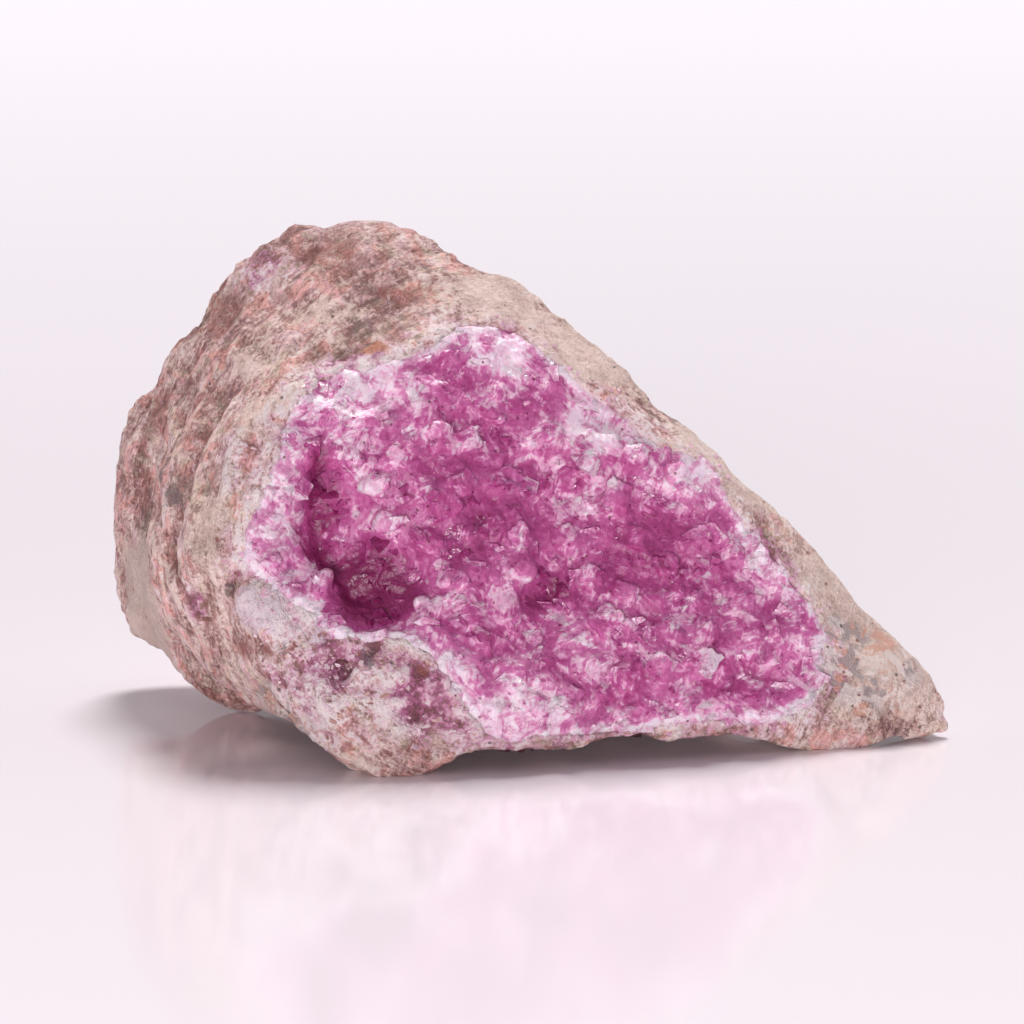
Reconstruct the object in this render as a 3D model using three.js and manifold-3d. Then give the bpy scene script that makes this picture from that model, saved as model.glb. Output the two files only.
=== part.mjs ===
// Cobaltoan calcite specimen: a broken wedge of layered host rock whose leaning front face carries
// a crust of grown-together calcite crystals.
// Units are millimetres. X runs along the length, +Y points away from the open face, +Z is up.
// The origin is under the middle of the rock, on the surface that it rests on.

import * as THREE from 'three';
import { ConvexGeometry } from 'three/addons/geometries/ConvexGeometry.js';
import { ConvexHull } from 'three/addons/math/ConvexHull.js';
import { ImprovedNoise } from 'three/addons/math/ImprovedNoise.js';
import { TessellateModifier } from 'three/addons/modifiers/TessellateModifier.js';
import { mergeVertices } from 'three/addons/utils/BufferGeometryUtils.js';
import Module from 'manifold-3d';

const wasm = await Module();
wasm.setup();

const point = (x, y, z) => new THREE.Vector3(x, y, z);
const onFace = (u, v) => new THREE.Vector2(u, v);
const noise = new ImprovedNoise();

// Driving dimensions
const GAP = 0.35;               // clearance between the rock and the crust
const ROCK_FACET = 4.5;         // longest edge on the rock's surface
const CRUST_SPACING = 3.8;      // distance between crystals, and between points of the crust
const CRUST_THICKNESS = { edge: 0.9, middle: 3.0, taper: 5.0 };
const WELD = 1e-3;              // points closer than this are one point
const SEED = 27;                // start of the random numbers for the crystals

// Corners of the broken block, by the place where they lie
const CORNERS = {
  leftWall: [
    point(-43.9, 19.5, 12.0), point(-43.9, 19.5, 22.0), point(-43.5, 18.5, 28.0),
    point(-43.3, 20.5, 5.4), point(-41.8, 17.5, 4.2),
  ],
  shoulder: [point(-38.6, 16.5, 35.6), point(-34.6, 14.5, 42.4), point(-30.6, 12.5, 48.0)],
  crown: [point(-23.6, 10.5, 52.2), point(-16.9, 9.5, 53.2), point(-11.3, 8.5, 52.1)],
  crest: [
    point(-6.2, 7.5, 48.8), point(-0.6, 5.5, 45.2), point(4.5, 4.5, 42.3), point(11.4, 2.5, 37.6),
    point(19.3, -0.5, 29.8), point(26.0, -1.5, 23.2), point(33.1, -2.5, 15.9), point(40.0, -3.5, 8.5),
  ],
  tip: [point(44.8, -4.5, 3.0), point(45.6, -4.9, 0.6), point(43.0, -6.6, 0.0), point(43.5, -2.0, 0.4)],
  leftFoot: [point(-39.2, 15.5, 4.0), point(-34.0, 11.5, 2.4), point(-29.8, 7.5, 0.4)],
  ledge: [point(-25.4, -10.0, 2.6), point(-21.8, -16.0, 1.6), point(-17.0, -21.6, 0.0)],
  frontFoot: [point(-14.6, -22.3, 0.0), point(-7.4, -20.8, 0.0), point(-11.0, -18.0, 0.0)],
  keel: [point(1.9, -17.8, 1.3), point(10.1, -14.8, 1.3), point(18.8, -11.0, 1.6)],
  lobe: [point(24.9, -8.0, 0.0), point(33.2, -8.8, 0.0), point(30.8, -8.0, 2.0)],
  druseEdge: [
    point(31.7, -6.0, 11.5), point(25.0, -5.5, 20.3), point(19.4, -3.9, 29.0), point(11.0, -2.6, 34.3),
    point(0.0, -2.6, 41.2), point(-4.3, -2.0, 42.8), point(-9.4, -1.5, 45.4),
  ],
  ridge: [
    point(-17.9, -6.3, 40.4), point(-23.7, -9.6, 36.3), point(-28.0, -12.4, 30.2),
    point(-33.4, -11.0, 23.8), point(-36.0, -5.5, 18.6), point(-30.4, -14.4, 17.2),
  ],
  lowerFront: [point(-29.6, -3.5, 3.6), point(-10.1, -21.3, 8.5), point(-23.2, -17.8, 14.8)],
  back: [
    point(-31.0, 20.0, 36.0), point(-12.0, 19.5, 41.0), point(5.0, 15.5, 32.0), point(18.0, 9.5, 23.0),
    point(30.0, 4.5, 12.0), point(-36.0, 23.0, 6.0), point(-20.0, 24.0, 14.0), point(-4.0, 22.0, 0.6),
    point(-8.0, 17.0, 0.0), point(14.0, 13.5, 1.2), point(28.0, 5.5, 0.4),
  ],
};

// The open face leans back: its outward, rightward and upward directions, and its lowest corner
const FACE_OUT = point(0.231, -0.900, 0.369).normalize();
const FACE_RIGHT = point(0, 0, 1).cross(FACE_OUT).normalize();
const FACE_UP = FACE_OUT.clone().cross(FACE_RIGHT);
const FACE_ORIGIN = point(-14.4, -22.0, 0);

// Outline of the crystal crust on that face, from its top corner clockwise
const CRUST_OUTLINE = [
  onFace(13.7, 45.2), onFace(17.8, 44.8), onFace(20.9, 42.0), onFace(24.4, 38.9), onFace(29.0, 34.9),
  onFace(32.8, 31.4), onFace(37.0, 30.2), onFace(38.5, 26.8), onFace(40.4, 22.9), onFace(44.2, 17.8),
  onFace(47.6, 12.4), onFace(46.6, 8.8), onFace(45.6, 4.9), onFace(40.4, 3.8), onFace(34.3, 3.9),
  onFace(29.2, 3.7), onFace(23.7, 3.3), onFace(16.8, 3.2), onFace(12.4, 3.2), onFace(9.6, 6.4),
  onFace(6.3, 11.7), onFace(3.0, 13.6), onFace(-1.6, 14.0), onFace(-4.7, 17.2), onFace(-8.2, 20.0),
  onFace(-10.4, 23.4), onFace(-8.9, 28.0), onFace(-6.4, 32.5), onFace(-5.0, 37.6), onFace(-1.2, 40.6),
  onFace(3.8, 41.2), onFace(8.6, 42.6),
];
const CRUST_BORDER_STEP = 2.4;

// Hollows of the crust below the face: a shallow bowl, the deep pocket at its left, and small clefts
const CRUST_HOLLOWS = [
  { at: onFace(22, 22), radius: 24, depth: 1.6 },
  { at: onFace(-1.8, 25.5), radius: 7.0, depth: 5.4 },
  { at: onFace(2.0, 19.0), radius: 6.0, depth: 4.6 },
  { at: onFace(19.4, 17.2), radius: 5.0, depth: 2.0 },
  { at: onFace(30.5, 28.0), radius: 6.0, depth: -1.0 },
  { at: onFace(9.0, 31.0), radius: 6.5, depth: -0.9 },
  { at: onFace(31.0, 10.5), radius: 7.0, depth: -1.1 },
];

// Calcite cleaves into a rhomb: a cube flattened along its upright diagonal
const RHOMB_FLATNESS = 0.70;
const CRYSTAL_SIZE = { least: 1.8, most: 3.0 };
const CRYSTAL_LEAN = 0.75;      // largest turn of a crystal's axis from the surface, in radians
const CRYSTAL_LIFT = 0.12;      // centre's height above the surface, as a share of the size
const CRYSTAL_REACH = 0.85;     // half of a crystal's width, as a share of its size

// Layers of the rock lie nearly parallel to the open face and show as ribs where they end
const LAYER_NORMAL = point(0.46, 0.83, 0.31).normalize();
const LAYER_PITCH = 3.6;
const LAYER_LENGTH = 22;
const LAYER_HEIGHT = 1.0;

// Lumps and hollows of the rock's own surface: a negative depth raises it
const ROCK_DENTS = [
  { at: point(-25.9, -19.1, 16.4), radius: 5.2, depth: -1.5 },
  { at: point(-31.0, -11.5, 19.5), radius: 4.6, depth: -1.1 },
  { at: point(-12.0, -3.0, 45.0), radius: 5.0, depth: 1.0 },
  { at: point(-31.0, 10.0, 44.0), radius: 6.5, depth: 0.9 },
  { at: point(-15.0, 4.0, 50.0), radius: 6.0, depth: -0.7 },
  { at: point(-20.5, 9.5, 52.0), radius: 3.2, depth: 0.9 },
  { at: point(-38.0, 6.0, 25.0), radius: 7.0, depth: 1.2 },
  { at: point(13.5, -0.5, 35.5), radius: 5.0, depth: 0.8 },
  { at: point(36.0, -6.0, 6.0), radius: 5.0, depth: -0.8 },
  { at: point(-18.0, -19.0, 6.0), radius: 4.5, depth: -0.8 },
  { at: point(-9.0, -20.0, 5.5), radius: 3.6, depth: 1.0 },
  { at: point(-20.0, 23.5, 24.0), radius: 12.0, depth: 1.8 },
  { at: point(8.0, 17.0, 16.0), radius: 9.0, depth: 1.4 },
  { at: point(-1.0, 5.0, 45.0), radius: 3.0, depth: -0.8 },
  { at: point(-43.0, 18.0, 31.5), radius: 3.5, depth: -0.6 },
];
const ROCK_TROUGHS = [
  { from: point(-31.5, -13.0, 17.8), to: point(-29.5, -9.0, 11.0), radius: 2.6, depth: 1.5 },
  { from: point(-29.5, -9.0, 11.0), to: point(-27.0, -8.0, 4.0), radius: 2.4, depth: 0.9 },
  { from: point(-28.0, -5.0, 33.5), to: point(-35.0, 0.0, 23.0), radius: 4.0, depth: 1.0 },
  { from: point(-24.0, 4.0, 46.0), to: point(-36.0, 14.0, 32.0), radius: 4.0, depth: 0.9 },
  { from: point(0.0, 2.0, 43.5), to: point(22.0, -3.0, 26.0), radius: 3.0, depth: 0.6 },
  { from: point(-35.0, 8.0, 6.0), to: point(-40.0, 14.0, 13.0), radius: 4.0, depth: 0.7 },
];

// Small broken-out pits in the rock, each where one stone grain has fallen out
const ROCK_PITS = [
  { at: point(-17.6, -20.2, 10.3), radius: 1.3 },
  { at: point(-14.7, -20.4, 12.5), radius: 1.1 },
  { at: point(-25.0, -13.5, 9.6), radius: 1.2 },
  { at: point(-13.2, -21.9, 5.2), radius: 1.0 },
  { at: point(-18.9, -7.7, 38.4), radius: 1.1 },
  { at: point(35.2, -7.2, 8.0), radius: 1.0 },
];

// The spots that the rock rests on, flattened by its own weight, with the underside arched between
const FEET = [
  { at: point(-12.5, -20.0, 0), radius: 9.0 },
  { at: point(31.0, -6.5, 0), radius: 12.0 },
  { at: point(42.0, -5.5, 0), radius: 8.0 },
  { at: point(-31.0, 7.5, 0), radius: 9.0 },
  { at: point(-8.0, 17.0, 0), radius: 7.0 },
];
const ARCH_RISE = 2.2;
const ARCH_REACH = 8;           // height above which the arch no longer shows
const FOOT_FLAT = 0.45;         // whatever is lower than this at a foot is worn flat

let randomStarted = false;

/** The next random number of the one repeatable row, from 0 to 1. */
function random() {
  const value = randomStarted ? THREE.MathUtils.seededRandom() : THREE.MathUtils.seededRandom(SEED);
  randomStarted = true;
  return value;
}

/** A smooth fall from 1 in the middle quarter to 0 at the radius. */
function falloff(distance, radius) {
  return 1 - THREE.MathUtils.smoothstep(distance, radius / 4, radius);
}

/** Layered noise: each octave has twice the detail and half the height. */
function roughness(p, wavelength, octaves) {
  let sum = 0;
  for (let octave = 0; octave < octaves; octave += 1) {
    const scale = 2 ** octave / wavelength;
    sum += noise.noise(p.x * scale, p.y * scale, p.z * scale) / 2 ** octave;
  }
  return sum;
}

/** Joins the corners of a geometry that lie at the same place, leaving only its positions. */
function weld(geometry) {
  geometry.deleteAttribute('normal');
  geometry.deleteAttribute('uv');
  return mergeVertices(geometry, WELD);
}

/** Calls change with each corner of a geometry and its normal, and keeps the moved corner. */
function reshape(geometry, change) {
  geometry.computeVertexNormals();
  const position = geometry.getAttribute('position');
  const normal = geometry.getAttribute('normal');
  const corner = new THREE.Vector3();
  const outward = new THREE.Vector3();
  for (let i = 0; i < position.count; i += 1) {
    corner.fromBufferAttribute(position, i);
    outward.fromBufferAttribute(normal, i);
    change(corner, outward);
    position.setXYZ(i, corner.x, corner.y, corner.z);
  }
  geometry.deleteAttribute('normal');
}

/** Rounds a welded geometry: each corner moves halfway to the middle of its neighbours. */
function soften(geometry, passes) {
  const position = geometry.getAttribute('position');
  const neighbours = Array.from({ length: position.count }, () => new Set());
  const index = geometry.index.array;
  for (let i = 0; i < index.length; i += 3) {
    for (let side = 0; side < 3; side += 1) {
      const a = index[i + side];
      const b = index[i + (side + 1) % 3];
      neighbours[a].add(b);
      neighbours[b].add(a);
    }
  }
  for (let pass = 0; pass < passes; pass += 1) {
    const before = position.clone();
    neighbours.forEach((near, i) => {
      const middle = new THREE.Vector3();
      near.forEach((j) => middle.add(new THREE.Vector3().fromBufferAttribute(before, j)));
      middle.divideScalar(near.size);
      const corner = new THREE.Vector3().fromBufferAttribute(before, i).lerp(middle, 0.5);
      position.setXYZ(i, corner.x, corner.y, corner.z);
    });
  }
}

/** How far the rock's surface stands out at a corner: broken lumps, ribs of its layers, named dents. */
function rockRelief(p) {
  const lumps = 0.8 * roughness(p, 11, 3);
  const across = p.dot(LAYER_NORMAL);
  const along = p.clone().addScaledVector(LAYER_NORMAL, -across).divideScalar(LAYER_LENGTH);
  along.addScaledVector(LAYER_NORMAL, across / LAYER_PITCH);
  const ribs = LAYER_HEIGHT * noise.noise(along.x, along.y, along.z);
  let height = lumps + ribs;
  for (const dent of ROCK_DENTS) {
    height -= dent.depth * falloff(p.distanceTo(dent.at), dent.radius);
  }
  for (const trough of ROCK_TROUGHS) {
    const nearest = new THREE.Line3(trough.from, trough.to).closestPointToPoint(p, true, point(0, 0, 0));
    height -= trough.depth * falloff(p.distanceTo(nearest), trough.radius);
  }
  return height;
}

/** Arches the underside between the feet and flattens the feet. */
function settle(p) {
  const reach = Math.max(...FEET.map(({ at, radius }) => falloff(Math.hypot(p.x - at.x, p.y - at.y), radius)));
  p.z += ARCH_RISE * (1 - reach) * falloff(p.z, ARCH_REACH);
  if (p.z < FOOT_FLAT && reach > 0.3) {
    p.z = 0;
  }
  p.z = Math.max(p.z, 0);
}

/** The whole block of rock, before the place of the crust is cut out of it. */
function rockBlock() {
  const block = new ConvexGeometry(Object.values(CORNERS).flat());
  const rock = weld(new TessellateModifier(ROCK_FACET, 14).modify(block));
  soften(rock, 1);
  reshape(rock, (corner, outward) => corner.addScaledVector(outward, rockRelief(corner)));
  reshape(rock, settle);
  return rock;
}

/** The place in space of a point given on the open face, at a height above the face. */
function fromFace(flat, height) {
  return FACE_ORIGIN.clone()
    .addScaledVector(FACE_RIGHT, flat.x)
    .addScaledVector(FACE_UP, flat.y)
    .addScaledVector(FACE_OUT, height);
}

/** Height of a block's surface above a point of the open face. */
function surfaceFinder(block) {
  const FAR = 40;
  const target = new THREE.Mesh(block, new THREE.MeshBasicMaterial());
  const inward = FACE_OUT.clone().negate();
  return (flat) => {
    const hit = new THREE.Raycaster(fromFace(flat, FAR), inward).intersectObject(target)[0];
    return FAR - hit.distance;
  };
}

/** Points along the crust's outline at even steps, moved outwards by a margin. */
function crustBorder(margin) {
  const corners = CRUST_OUTLINE.map((flat) => point(flat.x, flat.y, 0));
  const curve = new THREE.CatmullRomCurve3(corners, true, 'centripetal');
  const count = Math.round(curve.getLength() / CRUST_BORDER_STEP);
  return Array.from({ length: count }, (_, i) => {
    const at = curve.getPointAt(i / count);
    const heading = curve.getTangentAt(i / count);
    return onFace(at.x - margin * heading.y, at.y + margin * heading.x);
  });
}

/** Whether a point of the face lies inside a closed outline. */
function isInside(flat, outline) {
  let inside = false;
  outline.forEach((a, i) => {
    const b = outline[(i + 1) % outline.length];
    const crosses = (a.y > flat.y) !== (b.y > flat.y);
    if (crosses && flat.x < ((b.x - a.x) * (flat.y - a.y)) / (b.y - a.y) + a.x) {
      inside = !inside;
    }
  });
  return inside;
}

/** Distance from a point of the face to the nearest border point. */
function toBorder(flat, border) {
  return Math.min(...border.map((mark) => mark.distanceTo(flat)));
}

/** Unevenly spaced points that fill the crust's outline, one for each crystal. */
function crustSites(border) {
  const box = new THREE.Box2().setFromPoints(border);
  const rowStep = CRUST_SPACING * Math.sqrt(3) / 2;
  const sites = [];
  let row = 0;
  for (let v = box.min.y; v < box.max.y; v += rowStep) {
    row += 1;
    for (let u = box.min.x + (row % 2) * CRUST_SPACING / 2; u < box.max.x; u += CRUST_SPACING) {
      const jitter = CRUST_SPACING * 0.28;
      const site = onFace(u + jitter * (2 * random() - 1), v + jitter * (2 * random() - 1));
      if (isInside(site, border) && toBorder(site, border) > CRUST_SPACING * 0.42) {
        sites.push(site);
      }
    }
  }
  return sites;
}

/** Triangles that join points inside an outline: the underside of the points' hull on a paraboloid. */
function triangulate(flats, outline) {
  const middle = flats.reduce((sum, flat) => sum.add(flat), onFace(0, 0)).divideScalar(flats.length);
  const lifted = flats.map((flat) => point(flat.x, flat.y, flat.distanceToSquared(middle)));
  const order = new Map(lifted.map((corner, i) => [corner, i]));
  const triangles = [];
  for (const face of new ConvexHull().setFromPoints(lifted).faces) {
    const corners = [0, 1, 2].map((side) => order.get(face.getEdge(side).head().point));
    const centre = corners.reduce((sum, i) => sum.add(flats[i]), onFace(0, 0)).divideScalar(3);
    if (face.normal.z < 0 && isInside(centre, outline)) {
      triangles.push([corners[0], corners[2], corners[1]]);
    }
  }
  return triangles;
}

/** A closed plate over points of the face and a net of triangles, from its front to its back heights. */
function plate(flats, triangles, frontHeights, backHeights) {
  const front = flats.map((flat, i) => fromFace(flat, frontHeights[i]));
  const back = flats.map((flat, i) => fromFace(flat, backHeights[i]));
  const edges = new Set(triangles.flatMap(([a, b, c]) => [`${a},${b}`, `${b},${c}`, `${c},${a}`]));
  const faces = [];
  for (const [a, b, c] of triangles) {
    faces.push(a, b, c);
    faces.push(flats.length + a, flats.length + c, flats.length + b);
  }
  for (const edge of edges) {
    const [a, b] = edge.split(',').map(Number);
    if (!edges.has(`${b},${a}`)) {
      faces.push(a, flats.length + a, flats.length + b);
      faces.push(a, flats.length + b, b);
    }
  }
  const geometry = new THREE.BufferGeometry().setFromPoints([...front, ...back]);
  geometry.setIndex(faces);
  return geometry;
}

/** How deep the crust lies below the rock's surface at a point of the face. */
function crustDepth(flat) {
  const EDGE_DEPTH = 0.15;
  const UNEVENNESS = 0.35;
  const hollows = CRUST_HOLLOWS.map(({ at, radius, depth }) => depth * falloff(flat.distanceTo(at), radius));
  const waves = UNEVENNESS * noise.noise(flat.x / 4, flat.y / 4, 0.5);
  return hollows.reduce((sum, depth) => sum + depth, EDGE_DEPTH + waves);
}

/** The crust's thickness between its crystals: thin at its edge and full away from it. */
function crustThickness(flat, border) {
  const { edge, middle, taper } = CRUST_THICKNESS;
  return THREE.MathUtils.lerp(edge, middle, THREE.MathUtils.smoothstep(toBorder(flat, border), 0, taper));
}

/** One calcite rhomb standing on its corner, flattened a little more or less sideways. */
function crystalRhomb(size) {
  const rhomb = new THREE.BoxGeometry(size, size, size);
  const upright = new THREE.Quaternion().setFromUnitVectors(point(1, 1, 1).normalize(), point(0, 0, 1));
  rhomb.applyQuaternion(upright);
  rhomb.scale(1, 0.6 + 0.4 * random(), RHOMB_FLATNESS * (0.8 + 0.5 * random()));
  return weld(rhomb);
}

/** Turns a crystal to stand on the surface, leaning at random, with its lower half in the crust. */
function plantCrystal(rhomb, size, root, outward) {
  const stand = new THREE.Quaternion().setFromUnitVectors(point(0, 0, 1), outward);
  const spin = new THREE.Quaternion().setFromAxisAngle(point(0, 0, 1), 2 * Math.PI * random());
  const leanAxis = point(2 * random() - 1, 2 * random() - 1, 0).normalize();
  const lean = new THREE.Quaternion().setFromAxisAngle(leanAxis, CRYSTAL_LEAN * random());
  rhomb.applyQuaternion(stand.multiply(lean).multiply(spin));
  const centre = root.clone().addScaledVector(outward, CRYSTAL_LIFT * size);
  rhomb.translate(centre.x, centre.y, centre.z);
  return rhomb;
}

/** A solid that can be joined and cut, from a welded geometry. */
function toSolid(geometry) {
  const vertProperties = new Float32Array(geometry.getAttribute('position').array);
  const triVerts = new Uint32Array(geometry.index.array);
  return new wasm.Manifold(new wasm.Mesh({ numProp: 3, vertProperties, triVerts }));
}

/** The outer skin of a geometry, without the closed bubbles left between grown-together crystals. */
function outerSkin(geometry) {
  const index = geometry.index.array;
  const trianglesAt = new Map();
  for (let i = 0; i < index.length; i += 1) {
    const touching = trianglesAt.get(index[i]) ?? [];
    touching.push(Math.floor(i / 3));
    trianglesAt.set(index[i], touching);
  }
  const seen = new Set();
  let largest = [];
  for (let start = 0; start < index.length / 3; start += 1) {
    const skin = [];
    const waiting = [start];
    while (waiting.length > 0) {
      const triangle = waiting.pop();
      if (!seen.has(triangle)) {
        seen.add(triangle);
        skin.push(triangle);
        for (const corner of index.slice(3 * triangle, 3 * triangle + 3)) {
          waiting.push(...trianglesAt.get(corner));
        }
      }
    }
    if (skin.length > largest.length) {
      largest = skin;
    }
  }
  geometry.setIndex(largest.flatMap((triangle) => [...index.slice(3 * triangle, 3 * triangle + 3)]));
  return geometry;
}

/** A geometry again, from a solid. */
function toGeometry(solid) {
  const { vertProperties, triVerts } = solid.getMesh();
  const geometry = new THREE.BufferGeometry();
  geometry.setAttribute('position', new THREE.BufferAttribute(vertProperties, 3));
  geometry.setIndex(new THREE.BufferAttribute(triVerts, 1));
  return outerSkin(mergeVertices(geometry, WELD));
}

/** The crust's plate with a crystal on each of its sites, all grown together. */
function crustSolid(border, sites, net, frontHeights, backHeights) {
  const bed = plate([...border, ...sites], net, frontHeights, backHeights);
  bed.computeVertexNormals();
  const position = bed.getAttribute('position');
  const normal = bed.getAttribute('normal');
  let crust = toSolid(bed);
  sites.forEach((site, i) => {
    const room = Math.min(toBorder(site, border), crustThickness(site, border)) - GAP;
    const wanted = THREE.MathUtils.lerp(CRYSTAL_SIZE.least, CRYSTAL_SIZE.most, random() ** 1.4);
    const size = Math.min(wanted, room / CRYSTAL_REACH);
    const root = new THREE.Vector3().fromBufferAttribute(position, border.length + i);
    const outward = new THREE.Vector3().fromBufferAttribute(normal, border.length + i);
    const rhomb = crystalRhomb(size);
    crust = crust.add(toSolid(plantCrystal(rhomb, size, root, outward)));
  });
  return crust;
}

/** The rock with the bed of the crust and the small pits cut out of it. */
function rockSolid(block, sites, net, backHeights) {
  const ABOVE = 14;
  const tops = backHeights.map(() => ABOVE);
  const bottoms = backHeights.map((height) => height - GAP);
  const bedCut = plate([...crustBorder(GAP), ...sites], net, tops, bottoms);
  let rock = toSolid(block).subtract(toSolid(bedCut));
  for (const pit of ROCK_PITS) {
    const hole = new THREE.IcosahedronGeometry(pit.radius, 1);
    hole.translate(pit.at.x, pit.at.y, pit.at.z);
    rock = rock.subtract(toSolid(weld(hole)));
  }
  return rock;
}

/** A named mesh of one solid in its own stone. */
function pieceOf(name, solid, color, roughnessOfStone) {
  const material = new THREE.MeshStandardMaterial({ color, roughness: roughnessOfStone, metalness: 0 });
  const mesh = new THREE.Mesh(toGeometry(solid), material);
  mesh.name = name;
  return mesh;
}

const block = rockBlock();
const surfaceHeight = surfaceFinder(block);
const border = crustBorder(0);
const sites = crustSites(border);
const net = triangulate([...border, ...sites], border);
const frontHeights = [...border, ...sites].map((flat) => surfaceHeight(flat) - crustDepth(flat));
const backHeights = [...border, ...sites].map((flat, i) => frontHeights[i] - crustThickness(flat, border));

const specimen = new THREE.Group();
const hostRock = pieceOf('host_rock', rockSolid(block, sites, net, backHeights), 0xb39a90, 0.85);
const crystals = crustSolid(border, sites, net, frontHeights, backHeights);
const crust = pieceOf('calcite_crust', crystals, 0xb8609a, 0.35);
specimen.add(hostRock, crust);

// The origin lies under the middle of the rock
const extent = new THREE.Box3().setFromObject(hostRock);
const middle = extent.getCenter(new THREE.Vector3());
specimen.position.set(-middle.x, -middle.y, -extent.min.z);

export default specimen;
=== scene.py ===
"""Cobaltoan calcite specimen: a broken wedge of layered host rock with a druse of small pink crystals.

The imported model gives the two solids. Each is copied, given finer relief and dressed here, and Geometry
Nodes grow the small crystals on them. Lengths are in millimetres of the real specimen until they meet a
mesh.
"""
from __future__ import annotations

import logging
import math
from dataclasses import dataclass, replace
from enum import Enum
from itertools import product

import bmesh
import bpy
import numpy as np
from mathutils import Matrix, Vector, bvhtree, noise


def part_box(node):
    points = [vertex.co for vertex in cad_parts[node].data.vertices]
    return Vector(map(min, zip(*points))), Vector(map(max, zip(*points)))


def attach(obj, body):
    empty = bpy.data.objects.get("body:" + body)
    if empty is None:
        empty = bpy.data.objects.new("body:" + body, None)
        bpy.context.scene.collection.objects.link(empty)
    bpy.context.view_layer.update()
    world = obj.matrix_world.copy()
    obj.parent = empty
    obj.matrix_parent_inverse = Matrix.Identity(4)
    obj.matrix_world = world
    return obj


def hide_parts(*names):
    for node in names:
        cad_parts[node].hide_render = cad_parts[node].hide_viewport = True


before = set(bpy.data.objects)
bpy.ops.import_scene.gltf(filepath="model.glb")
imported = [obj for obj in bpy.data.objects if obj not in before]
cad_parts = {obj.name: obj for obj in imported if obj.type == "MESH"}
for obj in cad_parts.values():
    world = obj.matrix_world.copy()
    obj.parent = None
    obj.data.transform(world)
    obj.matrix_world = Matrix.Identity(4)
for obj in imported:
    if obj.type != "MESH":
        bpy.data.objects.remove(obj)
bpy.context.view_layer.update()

LOG = logging.getLogger("specimen")

# The frame's own size gives the length of one millimetre, so that every place below follows it
ROCK_LOW, ROCK_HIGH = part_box("host_rock")
ROCK_LENGTH_IN_MM = 88.16
MM = (ROCK_HIGH.x - ROCK_LOW.x) / ROCK_LENGTH_IN_MM

# The direction that the open face, which the crystals line, looks towards
FACE_OUT = Vector((0.231, -0.900, 0.369)).normalized()

# The rock's layers wrap round the hollow like the rings of a log, round this level line through its middle
LAYER_MIDDLE = Vector((-1.5, -12.0, 22.5))
LAYER_OUT = Vector((0.05, -0.985, 0.17)).normalized()
LAYER_RIGHT = Vector((0, 0, 1)).cross(LAYER_OUT).normalized()
LAYER_UP = LAYER_OUT.cross(LAYER_RIGHT)

# Behind the hollow the middle of the rings dives out of the rock's underside, so that the back has no rings
LAYER_STRAIGHT = 14.0
LAYER_DIVE = 1.6

SEED = 27


def paint(red: int, green: int, blue: int) -> tuple[float, float, float, float]:
    """Turns a colour as the eye reads it, 0 to 255, into the linear colour that a shader takes.

    Args:
        red: Red, 0 to 255.
        green: Green, 0 to 255.
        blue: Blue, 0 to 255.

    Returns:
        The linear colour with full cover.
    """
    channels = [channel / 255 for channel in (red, green, blue)]
    linear = [c / 12.92 if c <= 0.04045 else ((c + 0.055) / 1.055) ** 2.4 for c in channels]
    return (linear[0], linear[1], linear[2], 1.0)


class Value:
    """A number inside a node tree that can be used in a Python expression."""

    def __init__(self, sheet: "Sheet", socket: bpy.types.NodeSocket) -> None:
        """Keeps the socket and the sheet it belongs to."""
        self.sheet = sheet
        self.socket = socket

    def _math(self, operation: str, *values: object, clamp: bool = False) -> "Value":
        """Adds one Math node.

        Args:
            operation: The Math node's operation.
            values: The numbers or Values it works on, in order.
            clamp: Whether the result stays between 0 and 1.

        Returns:
            The node's result.
        """
        settings = {"operation": operation, "use_clamp": clamp}
        sockets = dict(enumerate(values))
        return self.sheet.value("ShaderNodeMath", settings, sockets)

    def __add__(self, other: object) -> "Value":
        """Adds."""
        return self._math("ADD", self, other)

    def __radd__(self, other: object) -> "Value":
        """Adds, with the number in front."""
        return self._math("ADD", other, self)

    def __sub__(self, other: object) -> "Value":
        """Subtracts."""
        return self._math("SUBTRACT", self, other)

    def __rsub__(self, other: object) -> "Value":
        """Subtracts from the number in front."""
        return self._math("SUBTRACT", other, self)

    def __mul__(self, other: object) -> "Value":
        """Multiplies."""
        return self._math("MULTIPLY", self, other)

    def __truediv__(self, other: object) -> "Value":
        """Divides."""
        return self._math("DIVIDE", self, other)

    def __pow__(self, other: object) -> "Value":
        """Raises to a power."""
        return self._math("POWER", self, other)

    def clamped(self) -> "Value":
        """Keeps the number between 0 and 1."""
        return self._math("ADD", self, 0.0, clamp=True)

    def larger(self, other: object) -> "Value":
        """Takes the larger of two numbers."""
        return self._math("MAXIMUM", self, other)

    def step(self, low: float, high: float) -> "Value":
        """Rises smoothly from 0 where the number is at low to 1 where it is at high.

        Args:
            low: Where the rise starts.
            high: Where the rise ends. Below low, the step falls instead.

        Returns:
            The step, between 0 and 1.
        """
        settings = {"interpolation_type": "SMOOTHSTEP"}
        sockets = {"Value": self, "From Min": low, "From Max": high}
        return self.sheet.value("ShaderNodeMapRange", settings, sockets, "Result")


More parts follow.
